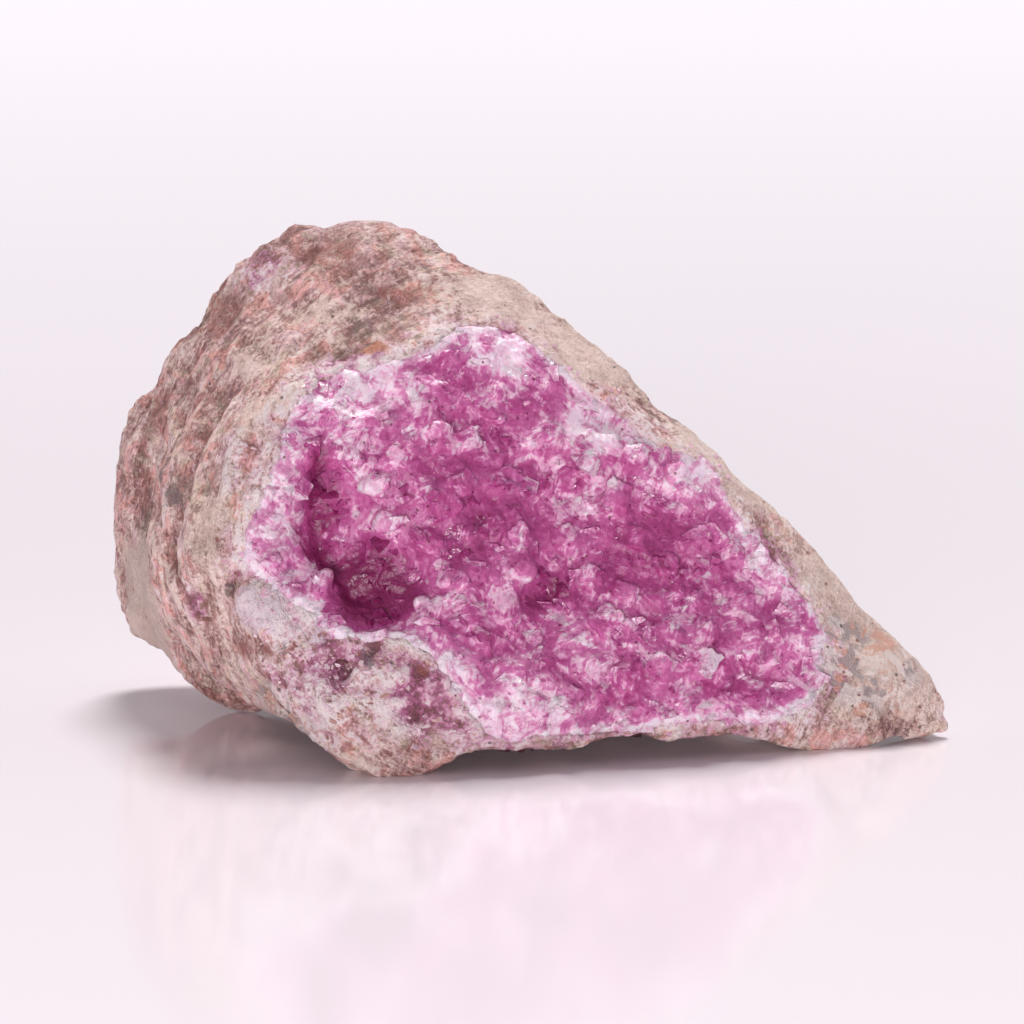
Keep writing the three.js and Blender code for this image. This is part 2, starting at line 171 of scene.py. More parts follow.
class Sheet:
    """A node tree, of a material or of geometry, with one way to add a node."""

    def __init__(self, tree: bpy.types.NodeTree) -> None:
        """Clears the tree and keeps it."""
        self.tree = tree
        tree.nodes.clear()

    def node(self, kind: str, settings: dict | None = None, sockets: dict | None = None) -> bpy.types.Node:
        """Adds a node, sets it, then gives its sockets their values or links.

        Args:
            kind: The node's type.
            settings: Its own settings. A list of stops under "stops" fills a colour ramp.
            sockets: Values, links or plain numbers by socket name, identifier or place.

        Returns:
            The new node.
        """
        made = self.tree.nodes.new(kind)
        for name, setting in (settings or {}).items():
            if name == "stops":
                self._fill_ramp(made.color_ramp, setting)
            else:
                setattr(made, name, setting)
        for key, given in (sockets or {}).items():
            self._feed(self._find(made.inputs, key), given)
        return made

    def value(self, kind: str, settings: dict | None = None, sockets: dict | None = None,
              output: object = 0) -> Value:
        """Adds a node and takes one of its results.

        Args:
            kind: The node's type.
            settings: Its own settings.
            sockets: What its sockets are given.
            output: The name, identifier or place of the result.

        Returns:
            The result, ready for an expression.
        """
        made = self.node(kind, settings, sockets)
        return Value(self, self._find(made.outputs, output))

    def mix(self, share: object, first: object, second: object, blend: str = "MIX") -> Value:
        """Mixes two colours.

        Args:
            share: How much of the second colour, 0 to 1.
            first: The colour below.
            second: The colour above.
            blend: The way they mix.

        Returns:
            The mixed colour.
        """
        settings = {"data_type": "RGBA", "blend_type": blend}
        sockets = {"Factor_Float": share, "A_Color": first, "B_Color": second}
        return self.value("ShaderNodeMix", settings, sockets, "Result_Color")

    def attribute(self, name: str) -> Value:
        """Reads a number that a piece carries at each of its points."""
        return self.value("ShaderNodeAttribute", {"attribute_name": name}, None, "Fac")

    def channel(self, colour: Value, name: str) -> Value:
        """Takes one number from a colour."""
        return self.value("ShaderNodeSeparateColor", None, {"Color": colour}, name)

    def place(self) -> Value:
        """Gives the place on the piece.

        Returns:
            The place, in millimetres.
        """
        here = self.value("ShaderNodeTexCoord", None, None, "Object")
        settings = {"operation": "SCALE"}
        return self.value("ShaderNodeVectorMath", settings, {"Vector": here, "Scale": 1 / MM})

    def mottle(self, place: object, size: float, detail: float = 2.0, roughness: float = 0.55,
               warp: float = 0.0) -> Value:
        """Adds soft noise.

        Args:
            place: Where it is read, in millimetres.
            size: The size of its lumps, in millimetres.
            detail: How many finer layers it has.
            roughness: How strong those are.
            warp: How far it is pulled out of shape.

        Returns:
            The noise, about 0.5 on average.
        """
        sockets = {"Vector": place, "Scale": 1 / size, "Detail": detail, "Roughness": roughness,
                   "Distortion": warp}
        return self.value("ShaderNodeTexNoise", None, sockets)

    def grains(self, place: object, size: float, output: str = "Distance",
               feature: str = "F1") -> Value:
        """Adds a cell pattern.

        Args:
            place: Where it is read, in millimetres.
            size: The size of a cell, in millimetres.
            output: "Distance" to the cell's middle or "Color" of the cell.
            feature: What the cells measure.

        Returns:
            The wanted result.
        """
        sockets = {"Vector": place, "Scale": 1 / size}
        return self.value("ShaderNodeTexVoronoi", {"feature": feature}, sockets, output)

    def stretched(self, place: object, turn: tuple[float, float, float],
                  scale: tuple[float, float, float]) -> Value:
        """Turns a place and then stretches it, so that a pattern on it runs in streaks.

        Args:
            place: The place, in millimetres.
            turn: The turn round each axis, in radians.
            scale: The stretch along each turned axis.

        Returns:
            The turned and stretched place.
        """
        turned = self.value("ShaderNodeVectorRotate", {"rotation_type": "EULER_XYZ"},
                            {"Vector": place, "Rotation": turn})
        return self.value("ShaderNodeVectorMath", {"operation": "MULTIPLY"}, {0: turned, 1: scale})

    def _feed(self, socket: bpy.types.NodeSocket, given: object) -> None:
        """Links a Value or a socket, or sets a plain value.

        Args:
            socket: The socket that is fed.
            given: What it is given.
        """
        if isinstance(given, Value):
            given = given.socket
        if isinstance(given, bpy.types.NodeSocket):
            self.tree.links.new(given, socket)
        else:
            socket.default_value = given

    @staticmethod
    def _find(sockets: bpy.types.NodeInputs, key: object) -> bpy.types.NodeSocket:
        """Finds a socket by place, identifier or name.

        Args:
            sockets: The sockets to look through.
            key: The place, identifier or name.

        Returns:
            The socket.
        """
        if isinstance(key, int):
            return sockets[key]
        for socket in sockets:
            if socket.identifier == key:
                return socket
        return next(socket for socket in sockets if socket.name == key and socket.enabled)

    @staticmethod
    def _fill_ramp(ramp: bpy.types.ColorRamp, stops: list) -> None:
        """Gives a ramp its stops.

        Args:
            ramp: The colour ramp.
            stops: Its stops, each a position and a colour.
        """
        while len(ramp.elements) < len(stops):
            ramp.elements.new(1.0)
        for element, (position, colour) in zip(ramp.elements, stops):
            element.position = position
            element.color = colour


class Tone(Enum):
    """The kinds of ground that the specimen shows, and painted shade in its hollow and crevices. Each is a
    number carried by a piece's points.
    """

    BROWN = "brown"
    TAN = "tan"
    CREAM = "cream"
    CHALK = "chalk"
    LILAC = "lilac"
    SOOT = "soot"
    RUST = "rust"
    OCHRE = "ochre"
    MAGENTA = "magenta"
    FACET = "facet"
    BLUSH = "blush"
    SPECK = "speck"
    SUGAR = "sugar"
    # Not a ground: painted shade in the druse's hollow
    DEEP = "deep"
    PALE = "pale"


@dataclass(frozen=True)
class Patch:
    """A soft patch of one tone round a point.

    Args:
        tone: What it is made of.
        at: Its middle, in millimetres.
        reach: How far it goes along each axis, in millimetres.
        strength: How strong it is in the middle.
    """

    tone: Tone
    at: tuple[float, float, float]
    reach: tuple[float, float, float]
    strength: float = 1.0

    def weight(self, points: np.ndarray) -> np.ndarray:
        """Fades from its strength in the middle to nothing at its reach.

        Args:
            points: The points, in millimetres.

        Returns:
            One number a point. The middle third is at full strength.
        """
        steepness = 1.5
        offset = (points - np.array(self.at)) / np.array(self.reach)
        distance = np.linalg.norm(offset, axis=1)
        return self.strength * np.clip(steepness * (1 - distance), 0, 1)


@dataclass(frozen=True)
class Streak:
    """A soft line of one tone, or a groove, along a few points.

    Args:
        path: The points it runs through, in millimetres.
        width: How far it goes to each side, in millimetres.
        tone: What it is made of, where it has a colour.
        depth: How far it sinks into the rock, in millimetres. A negative depth raises it.
    """

    path: tuple[tuple[float, float, float], ...]
    width: float
    tone: Tone | None = None
    depth: float = 0.0

    def weight(self, points: np.ndarray) -> np.ndarray:
        """Fades from 1 on the line to nothing at its width.

        Args:
            points: The points, in millimetres.

        Returns:
            One number a point, 0 to 1.
        """
        nearest = np.full(len(points), np.inf)
        for start, end in zip(self.path, self.path[1:]):
            first = np.array(start)
            run = np.array(end) - first
            share = np.clip((points - first) @ run / (run @ run), 0, 1)
            distance = np.linalg.norm(points - first - share[:, None] * run, axis=1)
            nearest = np.minimum(nearest, distance)
        share = np.clip(1 - nearest / self.width, 0, 1)
        return share * share * (3 - 2 * share)


def fractal(points: np.ndarray, size: float, octaves: int = 3, shift: float = 0.0) -> np.ndarray:
    """Reads layered noise at many points.

    Args:
        points: The points, in millimetres.
        size: The size of the largest lumps, in millimetres.
        octaves: How many layers there are, each half as large as the last.
        shift: Moves the noise, so that two uses differ.

    Returns:
        One number a point, about -1 to 1.
    """
    scaled = points / size + shift
    return np.array([noise.fractal(Vector(point), 1.0, 2.0, octaves) for point in scaled])


def ramp(values: np.ndarray, low: float, high: float) -> np.ndarray:
    """Rises evenly from 0 where the values are at low to 1 where they are at high."""
    return np.clip((values - low) / (high - low), 0, 1)


def weigh_tones(points: np.ndarray, wanted: tuple[Tone, ...], patches: tuple[Patch, ...],
                streaks: tuple[Streak, ...], stray: float, lump: float,
                shifts: tuple[float, float, float]) -> dict[Tone, np.ndarray]:
    """Works out how strong each tone is at each point.

    Args:
        points: The points, in millimetres.
        wanted: The tones.
        patches: The soft patches.
        streaks: The soft lines. Those without a tone are passed over.
        stray: How far the patches' edges stray, in millimetres.
        lump: The size of the lumps in those edges, in millimetres.
        shifts: Moves those lumps, one for each axis, so that no two are alike.

    Returns:
        The strengths by tone, 0 to about 1.
    """
    drift = np.stack([fractal(points, lump, 3, shift) for shift in shifts], axis=1)
    strayed = points + stray * drift
    tones = {tone: np.zeros(len(points)) for tone in wanted}
    for patch in patches:
        tones[patch.tone] = np.maximum(tones[patch.tone], patch.weight(strayed))
    for streak in streaks:
        if streak.tone:
            tones[streak.tone] = np.maximum(tones[streak.tone], streak.weight(points))
    return tones


def layered(points: np.ndarray, pitch: float) -> np.ndarray:
    """Counts the rock's layers outwards from the hollow, so that noise on them makes worn ribs.

    Args:
        points: The points, in millimetres.
        pitch: The thickness of a layer, in millimetres.

    Returns:
        Places that change quickly across the layers and slowly along them.
    """
    offset = points - np.array(LAYER_MIDDLE)
    right = offset @ np.array(LAYER_RIGHT)
    deep = offset @ np.array(LAYER_OUT)
    up = offset @ np.array(LAYER_UP) + LAYER_DIVE * np.maximum(-deep - LAYER_STRAIGHT, 0)
    away = np.hypot(right, up)
    along = 0.13
    return np.stack([away, (right + deep) * along, (up - deep) * along], axis=1) / pitch


def faceted(points: np.ndarray, size: float, steepness: float, seed: int) -> np.ndarray:
    """Covers a surface with low blocks whose flat sides meet in creases, as crystals and chips do.

    Args:
        points: The points, in millimetres.
        size: The distance between the blocks, in millimetres.
        steepness: How steep their sides are.
        seed: Seeds their places and the ways they face.

    Returns:
        A height for each point, in millimetres, zero on average.
    """
    dice = np.random.default_rng(seed)
    cells = np.floor(points / size).astype(int)
    corner = cells.min(0) - 1
    span = tuple(cells.max(0) - corner + 2)
    middles = (corner + np.moveaxis(np.indices(span), 0, -1) + dice.random((*span, 3))) * size
    sides = dice.normal(0, 1, (*span, 3, 3))
    sides /= np.linalg.norm(sides, axis=-1, keepdims=True)
    sides *= dice.uniform(0.5, 1.5, (*span, 3, 1))
    tops = dice.uniform(-0.5, 0.5, span) * size * steepness
    highest = np.full(len(points), -np.inf)
    for step in product((-1, 0, 1), repeat=3):
        cell = tuple((cells - corner + step).T)
        offset = points - middles[cell]
        across = np.abs(np.einsum("psc,pc->ps", sides[cell], offset)).max(1)
        highest = np.maximum(highest, tops[cell] - steepness * across)
    return highest - highest.mean()


class Skin:
    """A closed mesh that is reshaped point by point, in millimetres."""

    def __init__(self, node: str, voxel: float) -> None:
        """Copies a solid of the frame and gives it an even net of faces.

        Args:
            node: The solid's name.
            voxel: The size of the net, in millimetres.
        """
        self.node = node
        merged = self._merged_copy(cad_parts[node])
        remesh = merged.modifiers.new("net", "REMESH")
        remesh.mode = "VOXEL"
        remesh.voxel_size = voxel * MM
        self.mesh = plain_mesh(merged, node)
        bpy.data.objects.remove(merged)
        count = len(self.mesh.vertices)
        flat = np.empty(count * 3)
        self.mesh.vertices.foreach_get("co", flat)
        self.points = flat.reshape(count, 3) / MM
        edges = np.empty(len(self.mesh.edges) * 2, dtype=np.int32)
        self.mesh.edges.foreach_get("vertices", edges)
        self.edges = edges.reshape(-1, 2)

    @staticmethod
    def _merged_copy(node: bpy.types.Object) -> bpy.types.Object:
        """Copies a solid and joins its loose triangles.

        Args:
            node: The solid, which stays as it is.

        Returns:
            The joined copy.
        """
        work = bmesh.new()
        work.from_mesh(node.data)
        bmesh.ops.remove_doubles(work, verts=work.verts, dist=0.001 * MM)
        mesh = bpy.data.meshes.new(node.name + "_copy")
        work.to_mesh(mesh)
        work.free()
        made = bpy.data.objects.new(mesh.name, mesh)
        bpy.context.collection.objects.link(made)
        return made

    def smooth(self, rounds: int) -> None:
        """Softens the surface and keeps its volume.

        Args:
            rounds: How many times it is softened.
        """
        inwards, back_out = 0.5, -0.52
        for strength in (inwards, back_out) * rounds:
            around = np.stack([self.averaged(self.points[:, axis]) for axis in range(3)], axis=1)
            self.points += strength * (around - self.points)

    def averaged(self, values: np.ndarray, rounds: int = 1) -> np.ndarray:
        """Takes the mean of each point's neighbours.

        Args:
            values: One number a point.
            rounds: How many times the mean is taken.

        Returns:
            The means.
        """
        first, second = self.edges[:, 0], self.edges[:, 1]
        count = len(self.points)
        valence = np.bincount(self.edges.ravel(), minlength=count)
        for _ in range(rounds):
            sums = np.bincount(first, values[second], count) + np.bincount(second, values[first], count)
            values = sums / valence
        return values

    def normals(self) -> np.ndarray:
        """Works out which way the surface faces.

        Returns:
            The outward direction at each point.
        """
        self.write_back()
        flat = np.empty(len(self.points) * 3)
        self.mesh.vertices.foreach_get("normal", flat)
        return flat.reshape(-1, 3)

    def write_back(self) -> None:
        """Puts the points back into the mesh, in metres."""
        self.mesh.vertices.foreach_set("co", (self.points * MM).ravel())
        self.mesh.update()

    def carry(self, name: str, values: np.ndarray) -> None:
        """Stores one number a point on the mesh."""
        layer = self.mesh.attributes.new(name, "FLOAT", "POINT")
        layer.data.foreach_set("value", values.astype(np.float32))

    def finished(self, name: str, material: bpy.types.Material) -> bpy.types.Object:
        """Makes the finished piece from the mesh.

        Args:
            name: The piece's name.
            material: Its material.

        Returns:
            The piece, at the origin.
        """
        self.write_back()
        self.mesh.name = name
        self.mesh.materials.clear()
        self.mesh.materials.append(material)
        self.mesh.shade_smooth()
        made = bpy.data.objects.new(name, self.mesh)
        bpy.context.collection.objects.link(made)
        return made


def plain_mesh(piece: bpy.types.Object, name: str) -> bpy.types.Mesh:
    """Takes a piece's shape with its modifiers applied.

    Args:
        piece: The piece, which stays as it is.
        name: The new mesh's name.

    Returns:
        The shape as a new plain mesh.
    """
    graph = bpy.context.evaluated_depsgraph_get()
    graph.update()
    mesh = bpy.data.meshes.new_from_object(piece.evaluated_get(graph))
    mesh.name = name
    return mesh


@dataclass(frozen=True)
class RockGrain:
    """The patterns that the rock's colours share, each about 0.5 on average.

    Args:
        along: A place whose patterns run along the layers.
        coarse: Soft lumps some 3 mm across.
        medium: Soft lumps a millimetre across.
        fine: Soft lumps a third of a millimetre across.
        streaks: Streaks along the layers.
        fibres: One draw for each thin cell along the layers.
        crumbs: One draw for each small round cell.
    """

    along: Value
    coarse: Value
    medium: Value
    fine: Value
    streaks: Value
    fibres: Value
    crumbs: Value

    def grit(self) -> Value:
        """Mixes the patterns into one that frays the edges of the tones.

        Returns:
            The mixed pattern, about 0 on average.
        """
        mixed = (self.fine - 0.5) * 1.0 + (self.medium - 0.5) * 1.4 + (self.streaks - 0.5) * 0.8
        return mixed + (self.crumbs - 0.5) * 0.12 + (self.fibres - 0.5) * 0.15

    def height(self) -> Value:
        """Mixes the patterns into the surface's finest grain.

        Returns:
            The height that the bump reads.
        """
        return self.fine * 0.7 + self.medium * 0.7 + self.streaks * 0.9 + self.crumbs * 0.15


@dataclass(frozen=True)
class RockFinish:
    """Weathered, layered carbonate rock: mauve-brown and granular, with tan, cream and pink ground.

    The colours are as the eye reads them, red, green and blue, 0 to 255.

    Args:
        edge_turn: How the right-hand edge slopes, in radians, because the tan ground's lines follow it.
        layer: The thickness of the thinnest coloured layers, in millimetres.
        roughness: How matt the rock is.
        bump: How deep its finest grain is, in millimetres.
    """

    umber: tuple[int, int, int] = (126, 82, 76)
    brown: tuple[int, int, int] = (156, 110, 104)
    mauve: tuple[int, int, int] = (194, 152, 148)
    beige: tuple[int, int, int] = (224, 194, 188)
    frost: tuple[int, int, int] = (248, 226, 224)
    red: tuple[int, int, int] = (172, 110, 102)
    rose: tuple[int, int, int] = (226, 172, 184)
    olive: tuple[int, int, int] = (204, 180, 162)
    tan: tuple[int, int, int] = (242, 218, 209)
    tan_dark: tuple[int, int, int] = (194, 163, 151)
    cream: tuple[int, int, int] = (246, 222, 213)
    facet: tuple[int, int, int] = (220, 197, 187)
    facet_dark: tuple[int, int, int] = (188, 162, 154)
    # The crust's darkest colour, reached where the relief sinks: painted shade in pits and between grains
    crust_pit_shade: tuple[int, int, int] = (132, 74, 90)
    magenta: tuple[int, int, int] = (188, 104, 150)
    pink: tuple[int, int, int] = (218, 162, 188)
    blush: tuple[int, int, int] = (236, 202, 214)
    chalk: tuple[int, int, int] = (246, 230, 232)
    grey: tuple[int, int, int] = (172, 158, 160)
    bleach: tuple[int, int, int] = (242, 226, 222)
    salmon: tuple[int, int, int] = (222, 166, 146)
    lilac: tuple[int, int, int] = (238, 218, 228)
    # Painted shade on the lilac knob
    lilac_shade: tuple[int, int, int] = (180, 152, 166)
    # Soot-coloured patches and specks, and painted shade in crevices and gaps
    soot: tuple[int, int, int] = (88, 74, 76)
    rust: tuple[int, int, int] = (150, 84, 74)
    ochre: tuple[int, int, int] = (214, 146, 114)
    edge_turn: float = -0.74
    layer: float = 0.55
    roughness: float = 0.58
    bump: float = 0.45

    def make(self) -> bpy.types.Material:
        """Makes the material.

        Returns:
            The new material.
        """
        material = bpy.data.materials.new("host_rock_finish")
        material.use_nodes = True
        sheet = Sheet(material.node_tree)
        here = sheet.place()
        grain = self._grain(sheet, here)
        grit = grain.grit()
        colour = self._ground(sheet, here, grain)
        colour = self._bare_tones(sheet, here, colour, grain, grit)
        colour = self._calcite_tones(sheet, colour, grain, grit)
        colour = self._lay(sheet, colour, Tone.RUST, paint(*self.rust), grit * 1.6, 0.8)
        colour = self._lay(sheet, colour, Tone.OCHRE, paint(*self.ochre), grit, 0.85)
        # Soot patches, partly painted shade in the crevices and crust gaps near the lilac knob
        colour = self._lay(sheet, colour, Tone.SOOT, paint(*self.soot), grit * 2.2, 0.75)
        colour = self._specks(sheet, here, colour)
        bump = sheet.value("ShaderNodeBump", None, {"Height": grain.height(), "Strength": 0.9,
                                                     "Distance": self.bump * MM}, "Normal")
        gloss = self.roughness + (grain.fine - 0.5) * 0.8 - sheet.attribute(Tone.BLUSH.value) * 0.15
        surface = sheet.node("ShaderNodeBsdfPrincipled", None, {
            "Base Color": colour, "Roughness": gloss.clamped(),
            "Normal": bump, "IOR": 1.5})
        sheet.node("ShaderNodeOutputMaterial", None, {"Surface": surface.outputs[0]})
        return material

    def _grain(self, sheet: Sheet, here: Value) -> RockGrain:
        """Adds the patterns that the colours share.

        Args:
            sheet: The material's nodes.
            here: The place on the piece, in millimetres.

        Returns:
            The patterns.
        """
        along = self._layered(sheet, here)
        return RockGrain(
            along=along,
            coarse=sheet.mottle(here, 3.4, 3.0, 0.6, 0.5),
            medium=sheet.mottle(here, 1.1, 3.0, 0.65, 0.4),
            fine=sheet.mottle(here, 0.30, 2.0, 0.65),
            streaks=sheet.mottle(along, 1.0, 4.0, 0.72, 0.5),
            fibres=sheet.channel(sheet.grains(along, 0.55, "Color"), "Red"),
            crumbs=sheet.channel(sheet.grains(here, 0.34, "Color"), "Green"))

    def _ground(self, sheet: Sheet, here: Value, grain: RockGrain) -> Value:
        """Colours the mauve and brown ground, with its flecks, threads and stains.

        Args:
            sheet: The material's nodes.
            here: The place on the piece, in millimetres.
            grain: The shared patterns.

        Returns:
            The ground's colour.
        """
        level = 0.68 + (grain.streaks - 0.5) * 1.1 + (grain.medium - 0.5) * 1.0
        level = level + (grain.fine - 0.5) * 0.5 + (grain.fibres - 0.5) * 0.16
        level = level + (grain.crumbs - 0.5) * 0.28 + (grain.coarse - 0.5) * 1.1
        # Painted shade and light: the ground darkens where the relief sinks and lightens where it rises
        level = level - sheet.attribute(Tone.BROWN.value) * 0.15 + sheet.attribute("relief") * 0.35
        stops = [(0.10, paint(*self.umber)), (0.34, paint(*self.brown)), (0.54, paint(*self.mauve)),
                 (0.72, paint(*self.beige)), (0.94, paint(*self.frost))]
        colour = sheet.value("ShaderNodeValToRGB", {"stops": stops}, {"Fac": level.clamped()}, "Color")
        flecks = sheet.mottle(here, 0.85, 3.0, 0.65, 0.6)
        colour = sheet.mix(flecks.step(0.57, 0.64) * 0.45, colour, paint(*self.frost))
        threads = sheet.mottle(grain.along, 0.36, 3.0, 0.6, 0.5) + (grain.coarse - 0.5) * 0.2
        colour = sheet.mix(threads.step(0.60, 0.68) * 0.5, colour, paint(*self.frost))
        colour = sheet.mix(threads.step(0.38, 0.31) * 0.5, colour, paint(*self.umber))
        colour = self._stain(sheet, colour, sheet.mottle(here, 3.1, 2.0, 0.65, 0.9), self.olive, 0.65)
        colour = self._stain(sheet, colour, sheet.mottle(here, 2.6, 2.0, 0.65, 0.7), self.red, 0.6)
        return self._stain(sheet, colour, sheet.mottle(here, 2.2, 2.0, 0.65, 0.8), self.rose, 0.4)

    def _bare_tones(self, sheet: Sheet, here: Value, below: Value, grain: RockGrain,
                    grit: Value) -> Value:
        """Lays the tan ground, the broken facet and the cream band over the colour below.

        Args:
            sheet: The material's nodes.
            here: The place on the piece, in millimetres.
            below: The colour so far.
            grain: The shared patterns.
            grit: The pattern that frays the edges.

        Returns:
            The colour with these tones on it.
        """
        relief = sheet.attribute("relief")
        edgewise = sheet.stretched(here, (0.0, self.edge_turn, 0.0), (0.35, 1.0, 1.2))
        lines = sheet.mottle(edgewise, 1.0, 4.0, 0.65, 0.6)
        lines = 0.60 + (lines - 0.5) * 1.9 + (grain.coarse - 0.5) * 1.2 + (grain.fine - 0.5) * 0.5
        # Painted shade and light: the tan lines darken where the relief sinks and lighten where it rises
        lines = lines + (grain.crumbs - 0.5) * 0.3 + relief * 0.3
        tan = sheet.mix(lines.clamped(), paint(*self.tan_dark), paint(*self.tan))
        colour = self._lay(sheet, below, Tone.TAN, tan, grit, 0.9)
        face = 0.55 + (grain.coarse - 0.5) * 1.6 + (grain.medium - 0.5) * 0.8
        face = sheet.mix(face.clamped(), paint(*self.facet_dark), paint(*self.facet))
        colour = self._lay(sheet, colour, Tone.FACET, face, grit * 0.5, 0.9)
        worn = 0.66 + (grain.streaks - 0.5) * 1.8 + (grain.fine - 0.5) * 0.9
        # The cream band's own mottling, with painted shade where the relief sinks and painted light where
        # it rises
        worn = worn + (grain.crumbs - 0.5) * 0.4 + relief * 0.4
        cream = sheet.mix(worn.clamped(), paint(*self.tan_dark), paint(*self.cream))
        return self._lay(sheet, colour, Tone.CREAM, cream, grit, 0.85)

    def _calcite_tones(self, sheet: Sheet, below: Value, grain: RockGrain, grit: Value) -> Value:
        """Lays the pink and white crust near the druse and the lilac knob over the colour below.

        Args:
            sheet: The material's nodes.
            below: The colour so far.
            grain: The shared patterns.
            grit: The pattern that frays the edges.

        Returns:
            The colour with these tones on it.
        """
        relief = sheet.attribute("relief")
        crust = 0.63 + (grain.coarse - 0.5) * 1.2 + (grain.medium - 0.5) * 1.3
        # Painted shade and light: the crust darkens towards its pit shade where the relief sinks, between
        # grains and in pits, and lightens where it rises
        crust = crust + (grain.crumbs - 0.5) * 0.3 + relief * 0.8
        crust = crust + sheet.attribute(Tone.CHALK.value) * 0.22
        crust = crust - sheet.attribute(Tone.MAGENTA.value) * 0.3 - sheet.attribute("near") * 0.12
        stops = [(0.05, paint(*self.crust_pit_shade)), (0.28, paint(*self.magenta)), (0.45, paint(*self.pink)),
                 (0.64, paint(*self.blush)), (0.85, paint(*self.chalk))]
        crust = sheet.value("ShaderNodeValToRGB", {"stops": stops}, {"Fac": crust.clamped()}, "Color")
        colour = self._lay(sheet, below, Tone.BLUSH, crust, grit * 1.6, 0.9)
        # Painted light and shade on the lilac knob: lighter where its relief rises, shaded where it sinks,
        # over its own mottling
        sheen = 0.62 + (grain.medium - 0.5) * 1.6 + (grain.fine - 0.5) * 0.9 + relief * 0.7
        lilac = sheet.mix(sheen.clamped(), paint(*self.lilac_shade), paint(*self.lilac))
        return self._lay(sheet, colour, Tone.LILAC, lilac, grit, 0.85)

    def _specks(self, sheet: Sheet, here: Value, below: Value) -> Value:
        """Lays the blotches of the right-hand tip and the small dark specks over the colour below.

        Args:
            sheet: The material's nodes.
            here: The place on the piece, in millimetres.
            below: The colour so far.

        Returns:
            The colour with its blotches and specks.
        """
        colour = below
        blotched = sheet.attribute(Tone.SPECK.value).step(0.1, 0.5)
        for size, blotch in ((2.3, self.salmon), (2.6, self.grey), (2.9, self.bleach)):
            cloud = sheet.mottle(here, size, 2.0, 0.65, 0.8).step(0.50, 0.58)
            colour = sheet.mix(cloud * blotched * 0.8, colour, paint(*blotch))
        cells = sheet.grains(here, 0.8)
        draw = sheet.grains(here, 0.8, "Color")
        chosen = sheet.channel(draw, "Red") + sheet.attribute(Tone.SPECK.value) * 0.3
        specks = cells.step(0.30, 0.20) * chosen.step(0.93, 0.97)
        speck = sheet.mix(sheet.channel(draw, "Green").step(0.45, 0.55), paint(*self.soot),
                          paint(*self.rust))
        return sheet.mix(specks * 0.8, colour, speck)

    @staticmethod
    def _stain(sheet: Sheet, below: Value, cloud: Value, colour: tuple[int, int, int],
               cover: float) -> Value:
        """Turns the hue of some soft patches and keeps their light and dark.

        Args:
            sheet: The material's nodes.
            below: The colour so far.
            cloud: The noise that says where the patches are.
            colour: The hue they turn to.
            cover: How far they turn.

        Returns:
            The stained colour.
        """
        return sheet.mix(cloud.step(0.50, 0.62) * cover, below, paint(*colour), "COLOR")

    def _layered(self, sheet: Sheet, here: Value) -> Value:
        """Gives a place whose pattern runs along the layers round the hollow.

        Args:
            sheet: The material's nodes.
            here: The place on the piece, in millimetres.

        Returns:
            The place, quick to change across the layers and slow along them.
        """
        right = self._along(sheet, here, LAYER_RIGHT)
        deep = self._along(sheet, here, LAYER_OUT)
        up = self._along(sheet, here, LAYER_UP) + (0 - deep - LAYER_STRAIGHT).larger(0) * LAYER_DIVE
        away = (right * right + up * up) ** 0.5
        along = 0.2 / self.layer
        sockets = {"X": away / self.layer, "Y": (right + deep) * along, "Z": (up - deep) * along}
        return sheet.value("ShaderNodeCombineXYZ", None, sockets)

    @staticmethod
    def _along(sheet: Sheet, here: Value, direction: Vector) -> Value:
        """Measures how far a place is from the layers' middle along a direction.

        Args:
            sheet: The material's nodes.
            here: The place on the piece, in millimetres.
            direction: The direction, of length one.

        Returns:
            The distance, in millimetres, less than 0 on the near side.
        """
        settings = {"operation": "DOT_PRODUCT"}
        sockets = {0: here, 1: tuple(direction)}
        reach = sheet.value("ShaderNodeVectorMath", settings, sockets, "Value")
        return reach - LAYER_MIDDLE.dot(direction)

    @staticmethod
    def _lay(sheet: Sheet, below: Value, tone: Tone, colour: object, ragged: Value,
             cover: float) -> Value:
        """Lays one tone over the colour below, with a ragged edge.

        Args:
            sheet: The material's nodes.
            below: The colour so far.
            tone: The tone whose amount the piece carries.
            colour: Its colour.
            ragged: The noise that frays its edge.
            cover: How much of the ground it hides where it is full.

        Returns:
            The colour with the tone on it.
        """
        amount = sheet.attribute(tone.value)
        share = (amount + ragged).step(0.25, 0.85) * cover
        return sheet.mix(share * amount.step(0.03, 0.25), below, colour)


